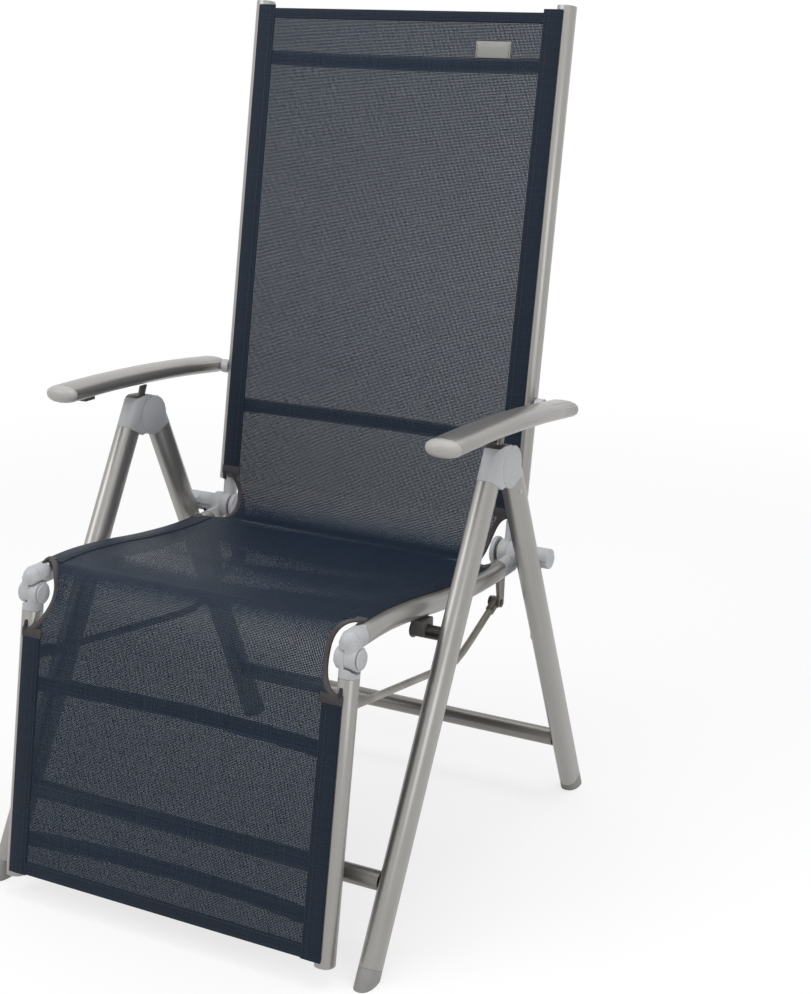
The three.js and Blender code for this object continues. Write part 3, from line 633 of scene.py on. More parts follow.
def bake_place(piece: bpy.types.Object) -> None:
    """Moves the piece's place into its mesh, so that its object sits at the origin."""
    bpy.context.view_layer.update()
    piece.data.transform(piece.matrix_world)
    piece.matrix_world = Matrix.Identity(4)


def mark_lengthways(piece: bpy.types.Object) -> None:
    """Gives the mesh a vector attribute in its own axes, with the long one drawn out."""
    count = len(piece.data.vertices)
    points = np.zeros(count * 3)
    piece.data.vertices.foreach_get("co", points)
    points = points.reshape(-1, 3)
    spread = points - points.mean(0)
    axes = np.linalg.svd(spread, full_matrices=False)[2]
    for axis in axes:
        axis *= math.copysign(1.0, axis[np.argmax(np.abs(axis))])
    drawn = spread @ axes.T * np.array([0.02, 1.0, 1.0])
    made = piece.data.attributes.new("lengthways", "FLOAT_VECTOR", "POINT")
    made.data.foreach_set("vector", drawn.astype(np.float32).ravel())


def mark_edges(piece: bpy.types.Object, slot: int) -> None:
    """Turns the faces of a material slot into an edge attribute, and gives them the first slot back."""
    made = piece.data.attributes.new("edge", "FLOAT", "FACE")
    for index, face in enumerate(piece.data.polygons):
        if face.material_index == slot:
            made.data[index].value = 1.0
            face.material_index = 0


# Places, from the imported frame


@dataclass(frozen=True)
class Layout:
    """Places that the pieces share, in the row frame: pivots as Y and Z, and widths as X, in metres."""

    hub: Place
    hip: Place
    knee: Place
    lever_pin: Place
    arm_pivot: Place
    leg_inner: float
    leg_outer: float
    rail_inner: float
    back_tilt: float = 10.9
    leg_rest_tilt: float = 10.4

    @classmethod
    def read(cls) -> "Layout":
        """Reads the joints' places and the tubes' widths from the frame."""
        joints = {joint["name"]: tuple(joint["pos_m"][1:]) for joint in frame["joints"]}
        foot_low, foot_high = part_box("front_foot_left")
        wanted = ("leg_fold", "recline", "leg_rest_lift", "rod_turn", "armrest_level")
        pivots = (joints[name] for name in wanted)
        return cls(*pivots, foot_low.x, foot_high.x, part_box("back_rail_left")[0].x)

    @property
    def leg_mid(self) -> float:
        """Returns the middle of a leg tube across the chair."""
        return (self.leg_inner + self.leg_outer) / 2

    @property
    def bracket_pin(self) -> Place:
        """Returns the push rod's front pin, which with the lever's forms a parallelogram."""
        return tuple(knee + pin - hip for knee, pin, hip in zip(self.knee, self.lever_pin, self.hip))

    def up_back(self, place: Vector) -> float:
        """Returns how far up the back a place lies from the hip."""
        turn = math.radians(self.back_tilt)
        return (place.y - self.hip[0]) * math.sin(turn) + (place.z - self.hip[1]) * math.cos(turn)

    def down_leg_rest(self, place: Vector) -> float:
        """Returns how far down the leg rest a place lies from the knee."""
        turn = math.radians(self.leg_rest_tilt)
        return (self.knee[0] - place.y) * math.sin(turn) + (self.knee[1] - place.z) * math.cos(turn)


LAYOUT = Layout.read()


# Rigid pieces: the CAD solids' own shapes, merged, rounded and dressed


@dataclass(frozen=True)
class Rim:
    """A shallow recess on the round end faces about a hinge."""

    pivot: Place
    radius: float
    width: float = 1.6 * MM
    depth: float = 0.5 * MM
    slope: float = 0.3 * MM
    flat: float = 0.999


@dataclass(frozen=True)
class Skin:
    """How the solids of one kind are dressed."""

    stem: str
    slot: Slot
    finishes: tuple[Finish, ...]
    bevel: float = 0.5 * MM
    region: Callable[[Vector], int] | None = None
    rims: tuple[Rim, ...] = ()
    paired: bool = True
    weld: float = 0.02 * MM
    level: float = 0.6
    sharp: float = 48

    def names(self) -> list[str]:
        """Returns the names of this kind's CAD nodes."""
        return [f"{self.stem}_{side.word}" for side in Side] if self.paired else [self.stem]

    def dress(self) -> list[bpy.types.Object]:
        """Dresses every node of this kind and returns the new pieces."""
        return [self.piece(name) for name in self.names()]

    def piece(self, node: str) -> bpy.types.Object:
        """Makes the dressed copy of one CAD node.

        Args:
            node: The CAD node's name.

        Returns:
            The new piece, riding on the node's body in the node's place.
        """
        source = frame["nodes"][node]
        piece = bpy.data.objects.new(f"dressed_{node}", source.data.copy())
        bpy.context.scene.collection.objects.link(piece)
        piece.data.materials.clear()
        for finish in (*self.finishes, self.finishes[0]):
            piece.data.materials.append(finish.material())
        for face in piece.data.polygons:
            face.material_index = 0
        begin_edit(piece)
        bpy.ops.mesh.select_all(action="SELECT")
        if piece.data.has_custom_normals:
            bpy.ops.mesh.customdata_custom_splitnormals_clear()
        bpy.ops.mesh.remove_doubles(threshold=self.weld)
        bpy.ops.mesh.dissolve_limited(angle_limit=math.radians(self.level))
        for rim in self.rims:
            self.recess(piece, rim)
        end_edit()
        spare = len(self.finishes)
        if self.bevel:
            put_modifier(
                piece, "BEVEL", width=self.bevel, segments=2, limit_method="ANGLE", material=spare,
                angle_limit=math.radians(self.sharp), use_clamp_overlap=True, miter_outer="MITER_ARC",
            )
        mark_edges(piece, spare)
        piece.data.materials.pop(index=spare)
        if self.region:
            for face in piece.data.polygons:
                face.material_index = self.region(Vector(face.center))
        mark_lengthways(piece)
        smooth(piece)
        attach(piece, source["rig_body"])
        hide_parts(node)
        return piece

    @staticmethod
    def recess(piece: bpy.types.Object, rim: Rim) -> None:
        """Sinks the flat round faces about a hinge inside a narrow rim."""
        def wanted(centre: Vector, normal: Vector) -> bool:
            """Returns whether a face is flat across the chair and near the hinge."""
            reach = math.hypot(centre.y - rim.pivot[0], centre.z - rim.pivot[1])
            return abs(normal.x) > rim.flat and reach < rim.radius

        if pick_faces(piece, wanted):
            bpy.ops.mesh.inset(thickness=rim.width, depth=0.0, use_even_offset=True)
            bpy.ops.mesh.inset(thickness=rim.slope, depth=-rim.depth, use_even_offset=True)
        bpy.ops.mesh.select_all(action="DESELECT")


@dataclass(frozen=True)
class Fastener:
    """A domed rivet head on a face across the chair, modelled once and copied."""

    stem: str
    body: str
    finish: Finish
    slot: Slot
    radius: float
    height: float
    sides: int = 28
    step: float = 0.22
    step_rise: float = 0.3
    crown: float = 0.3
    crown_rise: float = 0.14
    worn: float = 0.35
    small: float = 0.05

    def model(self) -> bpy.types.Object:
        """Makes the head at the origin, standing along X, its foot on the plane X = 0."""
        bpy.ops.object.select_all(action="DESELECT")
        bpy.ops.mesh.primitive_cylinder_add(
            vertices=self.sides, radius=self.radius, depth=self.height,
            location=(self.height / 2, 0, 0), rotation=(0, math.radians(90), 0),
        )
        head = bpy.context.object
        bake_place(head)
        begin_edit(head)
        pick_faces(head, lambda centre, normal: normal.x > 0.9)
        for share, rise in ((self.step, self.step_rise), (self.crown, self.crown_rise)):
            bpy.ops.mesh.inset(thickness=self.radius * share, depth=self.height * rise)
        end_edit()
        put_modifier(
            head, "BEVEL", width=self.height * 0.1, segments=2, limit_method="ANGLE",
            angle_limit=math.radians(30),
        )
        return head

    def place(self, spots: Sequence[Spot]) -> None:
        """Copies the head to each spot, given as a name, a foot and the sign of X that it faces."""
        model = self.model()
        for word, foot, facing in spots:
            piece = bpy.data.objects.new(f"{self.stem}_{word}", model.data.copy())
            bpy.context.scene.collection.objects.link(piece)
            turn = Matrix.Rotation(0.0 if facing > 0 else math.pi, 4, "Z")
            piece.matrix_world = Matrix.Translation(foot) @ turn
            bake_place(piece)
            piece.data.materials.append(self.finish.material())
            mark_lengthways(piece)
            edge = piece.data.attributes.new("edge", "FLOAT", "FACE")
            for index, face in enumerate(piece.data.polygons):
                # Painted highlight and wear: the small bevel faces take part of the paler edge colour.
                edge.data[index].value = self.worn if face.area < self.radius**2 * self.small else 0.0
            smooth(piece, 50)
            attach(piece, self.body)
            LOG.info("%s: %d faces", piece.name, len(piece.data.polygons))
        bpy.data.objects.remove(model)


def both_sides(width: float, place: Place, outward: bool) -> list[Spot]:
    """Returns a spot on each side of the chair at a width and a side-plane place."""
    facing = 1 if outward else -1
    return [(side.word, Vector((side.value * width, *place)), side.value * facing) for side in Side]


@dataclass
class Assembly:
    """A sub-assembly: the skins of its solids and its fasteners."""

    def skins(self) -> list[Skin]:
        """Returns how each kind of solid in it is dressed."""
        raise NotImplementedError

    def fasten(self) -> None:
        """Adds its fasteners, if it has any."""

    def build(self) -> None:
        """Dresses its solids and adds its fasteners."""
        for skin in self.skins():
            for piece in skin.dress():
                LOG.info("%s: %d faces", piece.name, len(piece.data.polygons))
        self.fasten()


@dataclass
class FrontFrame(Assembly):
    """Front legs with seat stubs, hub shells with latch teeth, feet and crossbar."""

    tooth_foot: float = 29.5 * MM
    tooth_half: float = 2.4 * MM

    def skins(self) -> list[Skin]:
        """Returns the front frame's skins."""
        return [
            Skin("front_leg", Slot.TUBE, (TUBE, DARK_STEEL), 0.3 * MM, self.leg_region),
            Skin("front_hub_shell", Slot.PLASTIC, (PLASTIC, STEEL), 1.1 * MM, self.shell_region),
            Skin("front_foot", Slot.SHOE, (SHOE,), 1.2 * MM),
            Skin("front_crossbar", Slot.TUBE, (SHADED_BAR,), 0.2 * MM, paired=False),
        ]

    @staticmethod
    def leg_region(centre: Vector) -> int:
        """Returns the steel's slot on the stub that the seat rests on, else the tube's."""
        return 1 if abs(centre.x) < LAYOUT.leg_inner - 0.3 * MM else 0

    def shell_region(self, centre: Vector) -> int:
        """Returns the latch tooth's slot above the hub shell, else the shell's."""
        above = centre.z > LAYOUT.hub[1] + self.tooth_foot
        return 1 if above and abs(abs(centre.x) - LAYOUT.leg_mid) < self.tooth_half else 0


@dataclass
class RearFrame(Assembly):
    """Rear legs with hub discs, feet, crossbar and hip brackets."""

    rivet_drop: float = 38.5 * MM
    rivet_behind: float = 26.5 * MM

    def skins(self) -> list[Skin]:
        """Returns the rear frame's skins."""
        return [
            Skin("rear_leg", Slot.TUBE, (TUBE,), 0.3 * MM),
            Skin("rear_hub_disc", Slot.PLASTIC, (PLASTIC,), 0.9 * MM),
            Skin("rear_foot", Slot.SHOE, (SHOE,), 1.2 * MM),
            Skin("rear_crossbar", Slot.TUBE, (SHADED_BAR,), 0.2 * MM, paired=False),
            Skin(
                "hip_bracket", Slot.PLASTIC, (PLASTIC, DARK_STEEL), 0.7 * MM, self.bracket_region,
                (Rim(LAYOUT.hip, 12 * MM, 1.2 * MM, 0.3 * MM),),
            ),
        ]

    @staticmethod
    def bracket_region(centre: Vector) -> int:
        """Returns the stay's slot on the bracket's flat stay, else the boss's."""
        inside = abs(centre.x) < LAYOUT.leg_inner + 0.1 * MM
        return 1 if inside and centre.z < LAYOUT.hip[1] - 9 * MM else 0

    def fasten(self) -> None:
        """Adds the bright rivet below each hub disc."""
        place = (LAYOUT.hub[0] + self.rivet_behind, LAYOUT.hub[1] - self.rivet_drop)
        rivet = Fastener("hub_rivet", "rear_frame", BRIGHT, Slot.STEEL, 2.6 * MM, 1.0 * MM)
        rivet.place(both_sides(LAYOUT.leg_outer - 1.0 * MM, place, True))


@dataclass
class Seat(Assembly):
    """Seat rails with saddles, hip hinge ends and upper knee knuckles."""

    saddle_place: Place = (-0.0845, 0.3772)
    saddle_half: float = 12.6 * MM

    def skins(self) -> list[Skin]:
        """Returns the seat's skins."""
        return [
            Skin("seat_rail", Slot.TUBE, (TUBE, RACK), 0.3 * MM, self.saddle_region),
            Skin("seat_hinge_end", Slot.PLASTIC, (PLASTIC,), 0.9 * MM),
            Skin("knee_knuckle_upper", Slot.PLASTIC, (PLASTIC,), 0.6 * MM),
        ]

    def saddle_region(self, centre: Vector) -> int:
        """Returns the saddle's slot under the seat rail, else the rail's."""
        near = abs(centre.y - self.saddle_place[0]) < self.saddle_half
        return 1 if near and centre.z < self.saddle_place[1] else 0


@dataclass
class Backrest(Assembly):
    """Long side rails with sockets, levers, hip caps and two bowed bars."""

    plug_from: float = 701.8 * MM

    def skins(self) -> list[Skin]:
        """Returns the backrest's skins."""
        return [
            Skin("back_rail", Slot.TUBE, (TUBE, ARM_CAP), 0.3 * MM, self.plug_region),
            Skin("back_socket", Slot.PLASTIC, (PLASTIC,), 0.9 * MM),
            Skin("recline_lever", Slot.STEEL, (STEEL,), 0.5 * MM),
            Skin("hip_cap", Slot.PLASTIC, (PLASTIC,), 1.1 * MM, None, (
                Rim(LAYOUT.hip, 15 * MM, 3.2 * MM, 0.7 * MM), Rim(LAYOUT.hip, 9 * MM, 4.2 * MM, -0.6 * MM),
            )),
            Skin("back_lower_bar", Slot.TUBE, (SHADED_BAR,), 0.2 * MM, paired=False),
            Skin("back_upper_bar", Slot.TUBE, (SHADED_BAR,), 0.2 * MM, paired=False),
        ]

    def plug_region(self, centre: Vector) -> int:
        """Returns the end plug's slot at the top of the back rail, else the rail's."""
        return 1 if LAYOUT.up_back(centre) > self.plug_from else 0

    def fasten(self) -> None:
        """Adds the outer rivet heads of the lever pins."""
        rivet = Fastener("lever_rivet", "backrest", DARK_STEEL, Slot.STEEL, 4.6 * MM, 1.0 * MM)
        rivet.place(both_sides(LAYOUT.rail_inner - 1.4 * MM, LAYOUT.lever_pin, True))


@dataclass
class LegRest(Assembly):
    """Leg-rest rails with lower knee knuckles, knee pins, rod brackets and two bowed bars."""

    plug_from: float = 358.8 * MM

    def skins(self) -> list[Skin]:
        """Returns the leg rest's skins."""
        return [
            Skin("leg_rest_rail", Slot.TUBE, (TUBE, ARM_CAP), 0.3 * MM, self.plug_region),
            Skin("knee_knuckle_lower", Slot.PLASTIC, (PLASTIC,), 0.6 * MM),
            Skin(
                "knee_pin", Slot.PLASTIC, (PLASTIC,), 0.7 * MM, None,
                (Rim(LAYOUT.knee, 11 * MM, 2 * MM, 0.5 * MM),),
            ),
            Skin("rod_bracket", Slot.STEEL, (STEEL,), 0.4 * MM),
            Skin("leg_rest_upper_bar", Slot.TUBE, (SHADED_BAR,), 0.2 * MM, paired=False),
            Skin("leg_rest_lower_bar", Slot.TUBE, (SHADED_BAR,), 0.2 * MM, paired=False),
        ]

    def plug_region(self, centre: Vector) -> int:
        """Returns the end plug's slot at the foot of the leg-rest rail, else the rail's."""
        return 1 if LAYOUT.down_leg_rest(centre) > self.plug_from else 0

    def fasten(self) -> None:
        """Adds the rivet heads of the rods' front pins."""
        rod_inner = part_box("push_rod_left")[0].x
        rivet = Fastener("rod_rivet", "leg_rest", DARK_STEEL, Slot.STEEL, 5.0 * MM, 1.6 * MM)
        rivet.place(both_sides(rod_inner - 0.2 * MM, LAYOUT.bracket_pin, False))


@dataclass
class Linkage(Assembly):
    """Push rods with clevis ends, and the pins to the levers."""

    clevis_reach: float = 23.0 * MM

    def skins(self) -> list[Skin]:
        """Returns the linkage's skins."""
        return [
            Skin("push_rod", Slot.STEEL, (ROD, STEEL), 0.4 * MM, self.clevis_region),
            Skin(
                "rod_pin", Slot.STEEL, (DARK_STEEL,), 0.4 * MM, None,
                (Rim(LAYOUT.lever_pin, 7 * MM, 1.8 * MM, 0.4 * MM),),
            ),
        ]

    def clevis_region(self, centre: Vector) -> int:
        """Returns the steel's slot on the clevis ends, else the shaft's."""
        reaches = (math.dist((centre.y, centre.z), pin) for pin in (LAYOUT.lever_pin, LAYOUT.bracket_pin))
        return 1 if min(reaches) < self.clevis_reach else 0


@dataclass
class Armrests(Assembly):
    """Bowed oval armrests with stop blocks and rear ends, front caps, spacers and bolts."""

    reach: float = 329 * MM
    rise: float = 26 * MM
    bow: float = 5 * MM
    half_depth: float = 11.25 * MM
    cap_share: float = -0.0095
    stop: tuple[float, float] = (0.845, 0.915)
    stop_half: float = 7.6 * MM

    def skins(self) -> list[Skin]:
        """Returns the armrests' skins."""
        return [
            Skin("armrest", Slot.TUBE, (TUBE, RACK, ARM_CAP), 0.3 * MM, self.region),
            Skin("armrest_front_cap", Slot.PLASTIC, (ARM_CAP,), 0.4 * MM),
            Skin("armrest_spacer", Slot.PLASTIC, (PLASTIC,), 0.8 * MM),
            Skin("armrest_bolt", Slot.STEEL, (DARK_STEEL,), 0.5 * MM),
        ]

    def region(self, centre: Vector) -> int:
        """Returns the stop block's slot under the front, the end cap's at the rear, else the tube's."""
        share = (LAYOUT.arm_pivot[0] - centre.y) / self.reach
        if share < self.cap_share:
            return 2
        line = LAYOUT.arm_pivot[1] + self.rise * share + 4 * self.bow * share * (1 - share)
        beside = abs(abs(centre.x) - LAYOUT.leg_mid) < self.stop_half
        under = line - centre.z > self.half_depth + 0.1 * MM
        return 1 if self.stop[0] < share < self.stop[1] and beside and under else 0


# Sling


def walk(line: np.ndarray) -> np.ndarray:
    """Returns the length along a line up to each of its places."""
    return np.concatenate([[0.0], np.cumsum(np.hypot(*np.diff(line, axis=0).T))])


def inward(line: np.ndarray, turn: int) -> np.ndarray:
    """Returns the unit vectors square to a line, to its left for a turn of 1."""
    heading = np.gradient(line, axis=0)
    heading /= np.linalg.norm(heading, axis=1)[:, None]
    return np.stack([-heading[:, 1], heading[:, 0]], axis=1) * turn


def gap(a: np.ndarray, b: np.ndarray) -> float:
    """Returns the distance between two places."""
    return float(np.hypot(*(a - b)))


def apart(places: Sequence[np.ndarray], least: float) -> list[np.ndarray]:
    """Returns the places, less those that lie within a distance of an earlier one."""
    kept: list[np.ndarray] = []
    for place in places:
        if all(gap(place, other) > least for other in kept):
            kept.append(place)
    return kept


@dataclass
class SlingLine:
    """The line that the whole sling follows from the leg rest's foot to the top of the back."""

    step: float = 2.5 * MM
    same: float = 0.2 * MM
    straight_from: float = 0.1
    nodes: dict[str, str] = field(default_factory=lambda: {
        "leg": "sling_leg_rest", "knee": "sling_knee_bend", "seat": "sling_seat", "hip": "sling_hip_bend",
        "back": "sling_back",
    })
    marks: dict[str, tuple[float, float]] = field(default_factory=dict)

    def __post_init__(self) -> None:
        """Samples the line evenly, with a normal towards the sitter at each sample."""
        end = np.array([-1.0, 0.0])
        runs: dict[str, list[np.ndarray]] = {}
        for name, node in self.nodes.items():
            runs[name] = self.middle(node, end)
            end = runs[name][-1]
        places = [tuple(place) for run in runs.values() for place in run]
        dense: list[Place] = [places[0]]
        for index in range(len(places) - 1):
            dense += self.between(places, index)
        line = np.array(dense)
        self.reach = walk(line)
        self.line = line
        heading = np.gradient(line, self.reach, axis=0)
        heading /= np.linalg.norm(heading, axis=1)[:, None]
        self.normal = np.stack([-heading[:, 1], heading[:, 0]], axis=1)
        for name, run in runs.items():
            ends = [self.reach[np.argmin(np.hypot(*(line - p).T))] for p in (run[0], run[-1])]
            self.marks[name] = (float(ends[0]), float(ends[1]))

    def middle(self, node: str, start: np.ndarray) -> list[np.ndarray]:
        """Returns the middle line of a CAD sheet, seen from the side.

        Args:
            node: The CAD node's name.
            start: The place that the line's first end is nearest to.

        Returns:
            The line's places, in order.
        """
        corners = (vertex.co for vertex in frame["nodes"][node].data.vertices)
        outline = apart([np.array([co.y, co.z], float) for co in corners], self.same)
        pairs = []
        for place in outline:
            other = min((p for p in outline if p is not place), key=lambda p: gap(p, place))
            pairs.append((place + other) / 2)
        left = apart(pairs, self.same)
        line: list[np.ndarray] = []
        while left:
            nearest = min(range(len(left)), key=lambda k: gap(left[k], start))
            start = left.pop(nearest)
            line.append(start)
        return line

    def between(self, places: Sequence[Place], index: int) -> list[Place]:
        """Returns the samples after one place up to the next, on a smooth curve or a straight line."""
        a, b = np.array(places[index]), np.array(places[index + 1])
        length = float(np.hypot(*(b - a)))
        count = max(1, math.ceil(length / self.step))
        if length > self.straight_from:
            return [tuple(a + (b - a) * k / count) for k in range(1, count + 1)]
        before = np.array(places[index - 1]) if index else a
        after = np.array(places[index + 2]) if index + 2 < len(places) else b
        tangent_a = (b - before) / max(np.hypot(*(b - before)), TINY) * length
        tangent_b = (after - a) / max(np.hypot(*(after - a)), TINY) * length
        found = []
        for k in range(1, count + 1):
            t = k / count
            h = (2 * t**3 - 3 * t**2 + 1, t**3 - 2 * t**2 + t, -2 * t**3 + 3 * t**2, t**3 - t**2)
            found.append(tuple(h[0] * a + h[1] * tangent_a + h[2] * b + h[3] * tangent_b))
        return found

    def at(self, across: float, along: float, lift: float = 0.0) -> Vector:
        """Returns the point of the cloth at a place across and along it, lifted towards the sitter."""
        index = min(max(bisect_right(self.reach, along) - 1, 0), len(self.reach) - 2)
        share = (along - self.reach[index]) / (self.reach[index + 1] - self.reach[index])
        place = self.line[index] * (1 - share) + self.line[index + 1] * share
        inner = min(max(share, 0.0), 1.0)
        normal = self.normal[index] * (1 - inner) + self.normal[index + 1] * inner
        return Vector((across, place[0] + normal[0] * lift, place[1] + normal[1] * lift))


@dataclass
class Sling:
    """The one-piece sling: mesh panels, folded hems, taped cut-outs, stitching and a blank label."""

    half_width: float = 229 * MM
    cut_depth: float = 30 * MM
    hem_width: float = 27 * MM
    cloth_low: float = -0.5 * MM
    cloth_high: float = 0.1 * MM
    hem_high: float = 1.0 * MM
    tape_width: float = 7.0 * MM
    sag: dict[str, float] = field(default_factory=lambda: {"leg": 3 * MM, "seat": 6 * MM, "back": 5 * MM})
    fold: dict[str, float] = field(default_factory=lambda: {"hip": 8 * MM, "knee": 0.0})
    taut: dict[str, float] = field(default_factory=lambda: {"hip": 5 * MM, "knee": 14 * MM})
    taut_width: float = 90 * MM
    columns: int = 40
    row_step: float = 9 * MM
    hem_low: float = -0.65 * MM
    on_hem: float = 0.15 * MM
    stitch_insets: tuple[float, float] = (19 * MM, 25 * MM)
    stitch: tuple[float, float, float, float] = (4.4 * MM, 3.3 * MM, 0.38 * MM, 0.45 * MM)
    sunk: float = 0.1 * MM
    probe: float = 0.1 * MM
    tape_low: float = -1.2 * MM
    tape_high: float = 1.4 * MM
    tape_stitch_inset: float = 5.2 * MM
    on_tape: float = 0.1 * MM
    binding: tuple[float, float, float] = (12 * MM, -0.9 * MM, 1.7 * MM)
    cord: tuple[float, float, float] = (4.4 * MM, -1.6 * MM, 2.2 * MM)
    cord_length: float = 12 * MM
    cord_sunk: float = 3 * MM
    cross_low: float = -0.7 * MM
    cross_high: float = 0.8 * MM
    cut_steps: int = 36
    cross_steps: int = 30
    label_across: float = 135.5 * MM
    label_drop: float = 52.5 * MM
    label_half: float = 25 * MM
    label_tall: float = 10.5 * MM
    label_stitch: float = 2 * MM
    line: SlingLine = field(default_factory=SlingLine)

    def __post_init__(self) -> None:
        """Finds the cut-outs' ends along the line."""
        marks = self.line.marks
        self.ends = {
            "hip": (marks["seat"][1], marks["back"][0]),
            "knee": (marks["leg"][1], marks["seat"][0]),
        }
        self.top = marks["back"][1]

    def dip(self, across: float, along: float) -> float:
        """Returns how far the stretched cloth hangs below the plane of its rails."""
        for name, depth in self.sag.items():
            low, high = self.line.marks[name]
            if low < along < high:
                share = (along - low) / (high - low)
                side = max(0.0, 1 - (across / (self.half_width - self.hem_width)) ** 2)
                return depth * side * math.sin(math.pi * share) ** 0.8
        for name, (low, high) in self.ends.items():
            if low < along < high:
                free = self.half_width - self.cut_depth
                near = min(max(1 - (free - abs(across)) / self.taut_width, 0.0), 1.0)
                drop = self.fold[name] + self.taut[name] * near**2
                return drop * math.sin(math.pi * (along - low) / (high - low)) ** 1.4
        return 0.0

    def reach_of_cut(self, name: str, share: float) -> Place:
        """Returns the half width of the cloth, and the place along it, at a share of a cut-out."""
        low, high = self.ends[name]
        turn = math.pi * share
        along = low + (high - low) * (1 - math.cos(turn)) / 2
        return self.half_width - self.cut_depth * math.sin(turn) ** 0.9, along

    @staticmethod
    def mesh(
        name: str, points: Sequence[Vector], faces: Sequence[Sequence[int]], cloth: Sequence[Place],
        crease: float = 50.0,
    ) -> bpy.types.Object:
        """Makes a closed piece from points and faces, with the cloth's coordinates as its UV map.

        Args:
            name: The piece's name.
            points: The mesh's points.
            faces: The faces, as point numbers.
            cloth: The place on the cloth of each point.
            crease: The angle in degrees up to which it is shaded smoothly.

        Returns:
            The object, in the scene.
        """
        data = bpy.data.meshes.new(name)
        data.from_pydata([tuple(p) for p in points], [], faces)
        layer = data.uv_layers.new(name="cloth")
        for loop in data.loops:
            layer.data[loop.index].uv = cloth[loop.vertex_index]
        data.update()
        piece = bpy.data.objects.new(name, data)
        bpy.context.scene.collection.objects.link(piece)
        begin_edit(piece)
        bpy.ops.mesh.select_all(action="SELECT")
        bpy.ops.mesh.normals_make_consistent(inside=False)
        end_edit()
        smooth(piece, crease)
        return piece

    def slab(self, name: str, rows: Sequence[Place]) -> bpy.types.Object:
        """Makes a thin closed panel of cloth.

        Args:
            name: The piece's name.
            rows: The half width and the place along the cloth of each row.

        Returns:
            The panel.
        """
        columns = self.columns
        points: list[Vector] = []
        cloth: list[Place] = []
        for high in (True, False):
            for half, along in rows:
                for k in range(columns + 1):
                    across = half * (2 * k / columns - 1)
                    lift = (self.cloth_high if high else self.cloth_low) - self.dip(across, along)
                    points.append(self.line.at(across, along, lift))
                    cloth.append((across, along))
        wide, count = columns + 1, len(rows) * (columns + 1)
        faces = []
        for r in range(len(rows) - 1):
            for k in range(columns):
                a = r * wide + k
                faces.append((a, a + 1, a + 1 + wide, a + wide))
                faces.append(tuple(count + i for i in (a, a + wide, a + 1 + wide, a + 1)))
        border = (
            [k for k in range(wide)] + [r * wide + columns for r in range(1, len(rows))]
            + [(len(rows) - 1) * wide + k for k in range(columns - 1, -1, -1)]
            + [r * wide for r in range(len(rows) - 2, 0, -1)]
        )
        for a, b in zip(border, border[1:] + border[:1]):
            faces.append((a, a + count, b + count, b))
        return self.mesh(name, points, faces, cloth)

    def band(
        self, name: str, path: Sequence[Place], width: float, low: float, high: float, turn: int,
        own: bool = False,
    ) -> bpy.types.Object:
        """Sweeps a flat band with rounded edges along a line drawn on the cloth.

        Args:
            name: The piece's name.
            path: The band's outer edge, as places across and along the cloth.
            width: The band's width.
            low: Its underside's height above the rails.
            high: Its top's height.
            turn: 1 if the band lies to the left of its edge, -1 if to the right.
            own: Whether the UV map runs across and along the band itself.

        Returns:
            The band.
        """
        round_off = min((high - low) / 2, width / 5)
        profile = [
            (0.0, low + round_off), (0.0, high - round_off), (round_off * 0.3, high - round_off * 0.3),
            (round_off, high), (width / 2, high + round_off * 0.25), (width - round_off, high),
            (width - round_off * 0.3, high - round_off * 0.3), (width, high - round_off),
            (width, low + round_off), (width - round_off, low), (round_off, low),
        ]
        line = np.array(path)
        walked = walk(line)
        points, cloth, faces = [], [], []
        size = len(profile)
        for row, (place, inner) in enumerate(zip(line, inward(line, turn))):
            for n, h in profile:
                across, along = place + inner * n
                points.append(self.line.at(across, along, h - self.dip(across, along)))
                cloth.append((n, walked[row]) if own else (across, along))
        for row in range(len(line) - 1):
            for k in range(size):
                a, b = row * size + k, row * size + (k + 1) % size
                faces.append((a, b, b + size, a + size))
        faces.append(tuple(range(size - 1, -1, -1)))
        faces.append(tuple((len(line) - 1) * size + k for k in range(size)))
        return self.mesh(name, points, faces, cloth)

    def stitches(self, name: str, path: Sequence[Place], lift: float) -> bpy.types.Object:
        """Makes a row of lockstitches along a line on the cloth, as one mesh of small tapered bars."""
        pitch, length, half, tall = self.stitch
        line = np.array(path)
        walked = walk(line)
        points, faces, cloth = [], [], []
        for number in range(int(walked[-1] / pitch)):
            start = (number + 0.5) * pitch - length / 2
            ring = []
            for share in (0.0, 0.25, 0.75, 1.0):
                where = start + share * length
                place, ahead, behind = (
                    np.array([np.interp(where + step, walked, line[:, k]) for k in (0, 1)])
                    for step in (0.0, self.probe, -self.probe)
                )
                heading = (ahead - behind) / max(np.hypot(*(ahead - behind)), TINY)
                sideways = np.array([-heading[1], heading[0]])
                full = 1.0 if share in (0.25, 0.75) else 0.45
                ring.append(len(points))
                crown = half * 0.6
                for n, h in ((-half, 0), (-crown, tall * full), (crown, tall * full), (half, 0)):
                    across, along = place + sideways * n * full
                    height = lift + h - self.dip(across, along) - self.sunk
                    points.append(self.line.at(across, along, height))
                    cloth.append((across, along))
            for a, b in zip(ring, ring[1:]):
                faces += [(a + k, a + (k + 1) % 4, b + (k + 1) % 4, b + k) for k in range(4)]
            faces += [tuple(ring[0] + k for k in (3, 2, 1, 0)), tuple(ring[-1] + k for k in range(4))]
        return self.mesh(name, points, faces, cloth, 60.0)

    def dress(self, piece: bpy.types.Object, finish: Finish) -> bpy.types.Object:
        """Gives a cloth piece its finish, and returns it."""
        piece.data.materials.append(finish.material())
        LOG.info("%s: %d faces", piece.name, len(piece.data.polygons))
        return piece

    def rows(self, name: str, lower: float, upper: float) -> list[Place]:
        """Returns evenly spaced full-width rows over one run of the line, less a length at each end."""
        low, high = self.line.marks[name]
        low, high = low + lower, high - upper
        count = math.ceil((high - low) / self.row_step)
        half = self.half_width - self.hem_width + 2 * MM
        return [(half, low + (high - low) * k / count) for k in range(count + 1)]

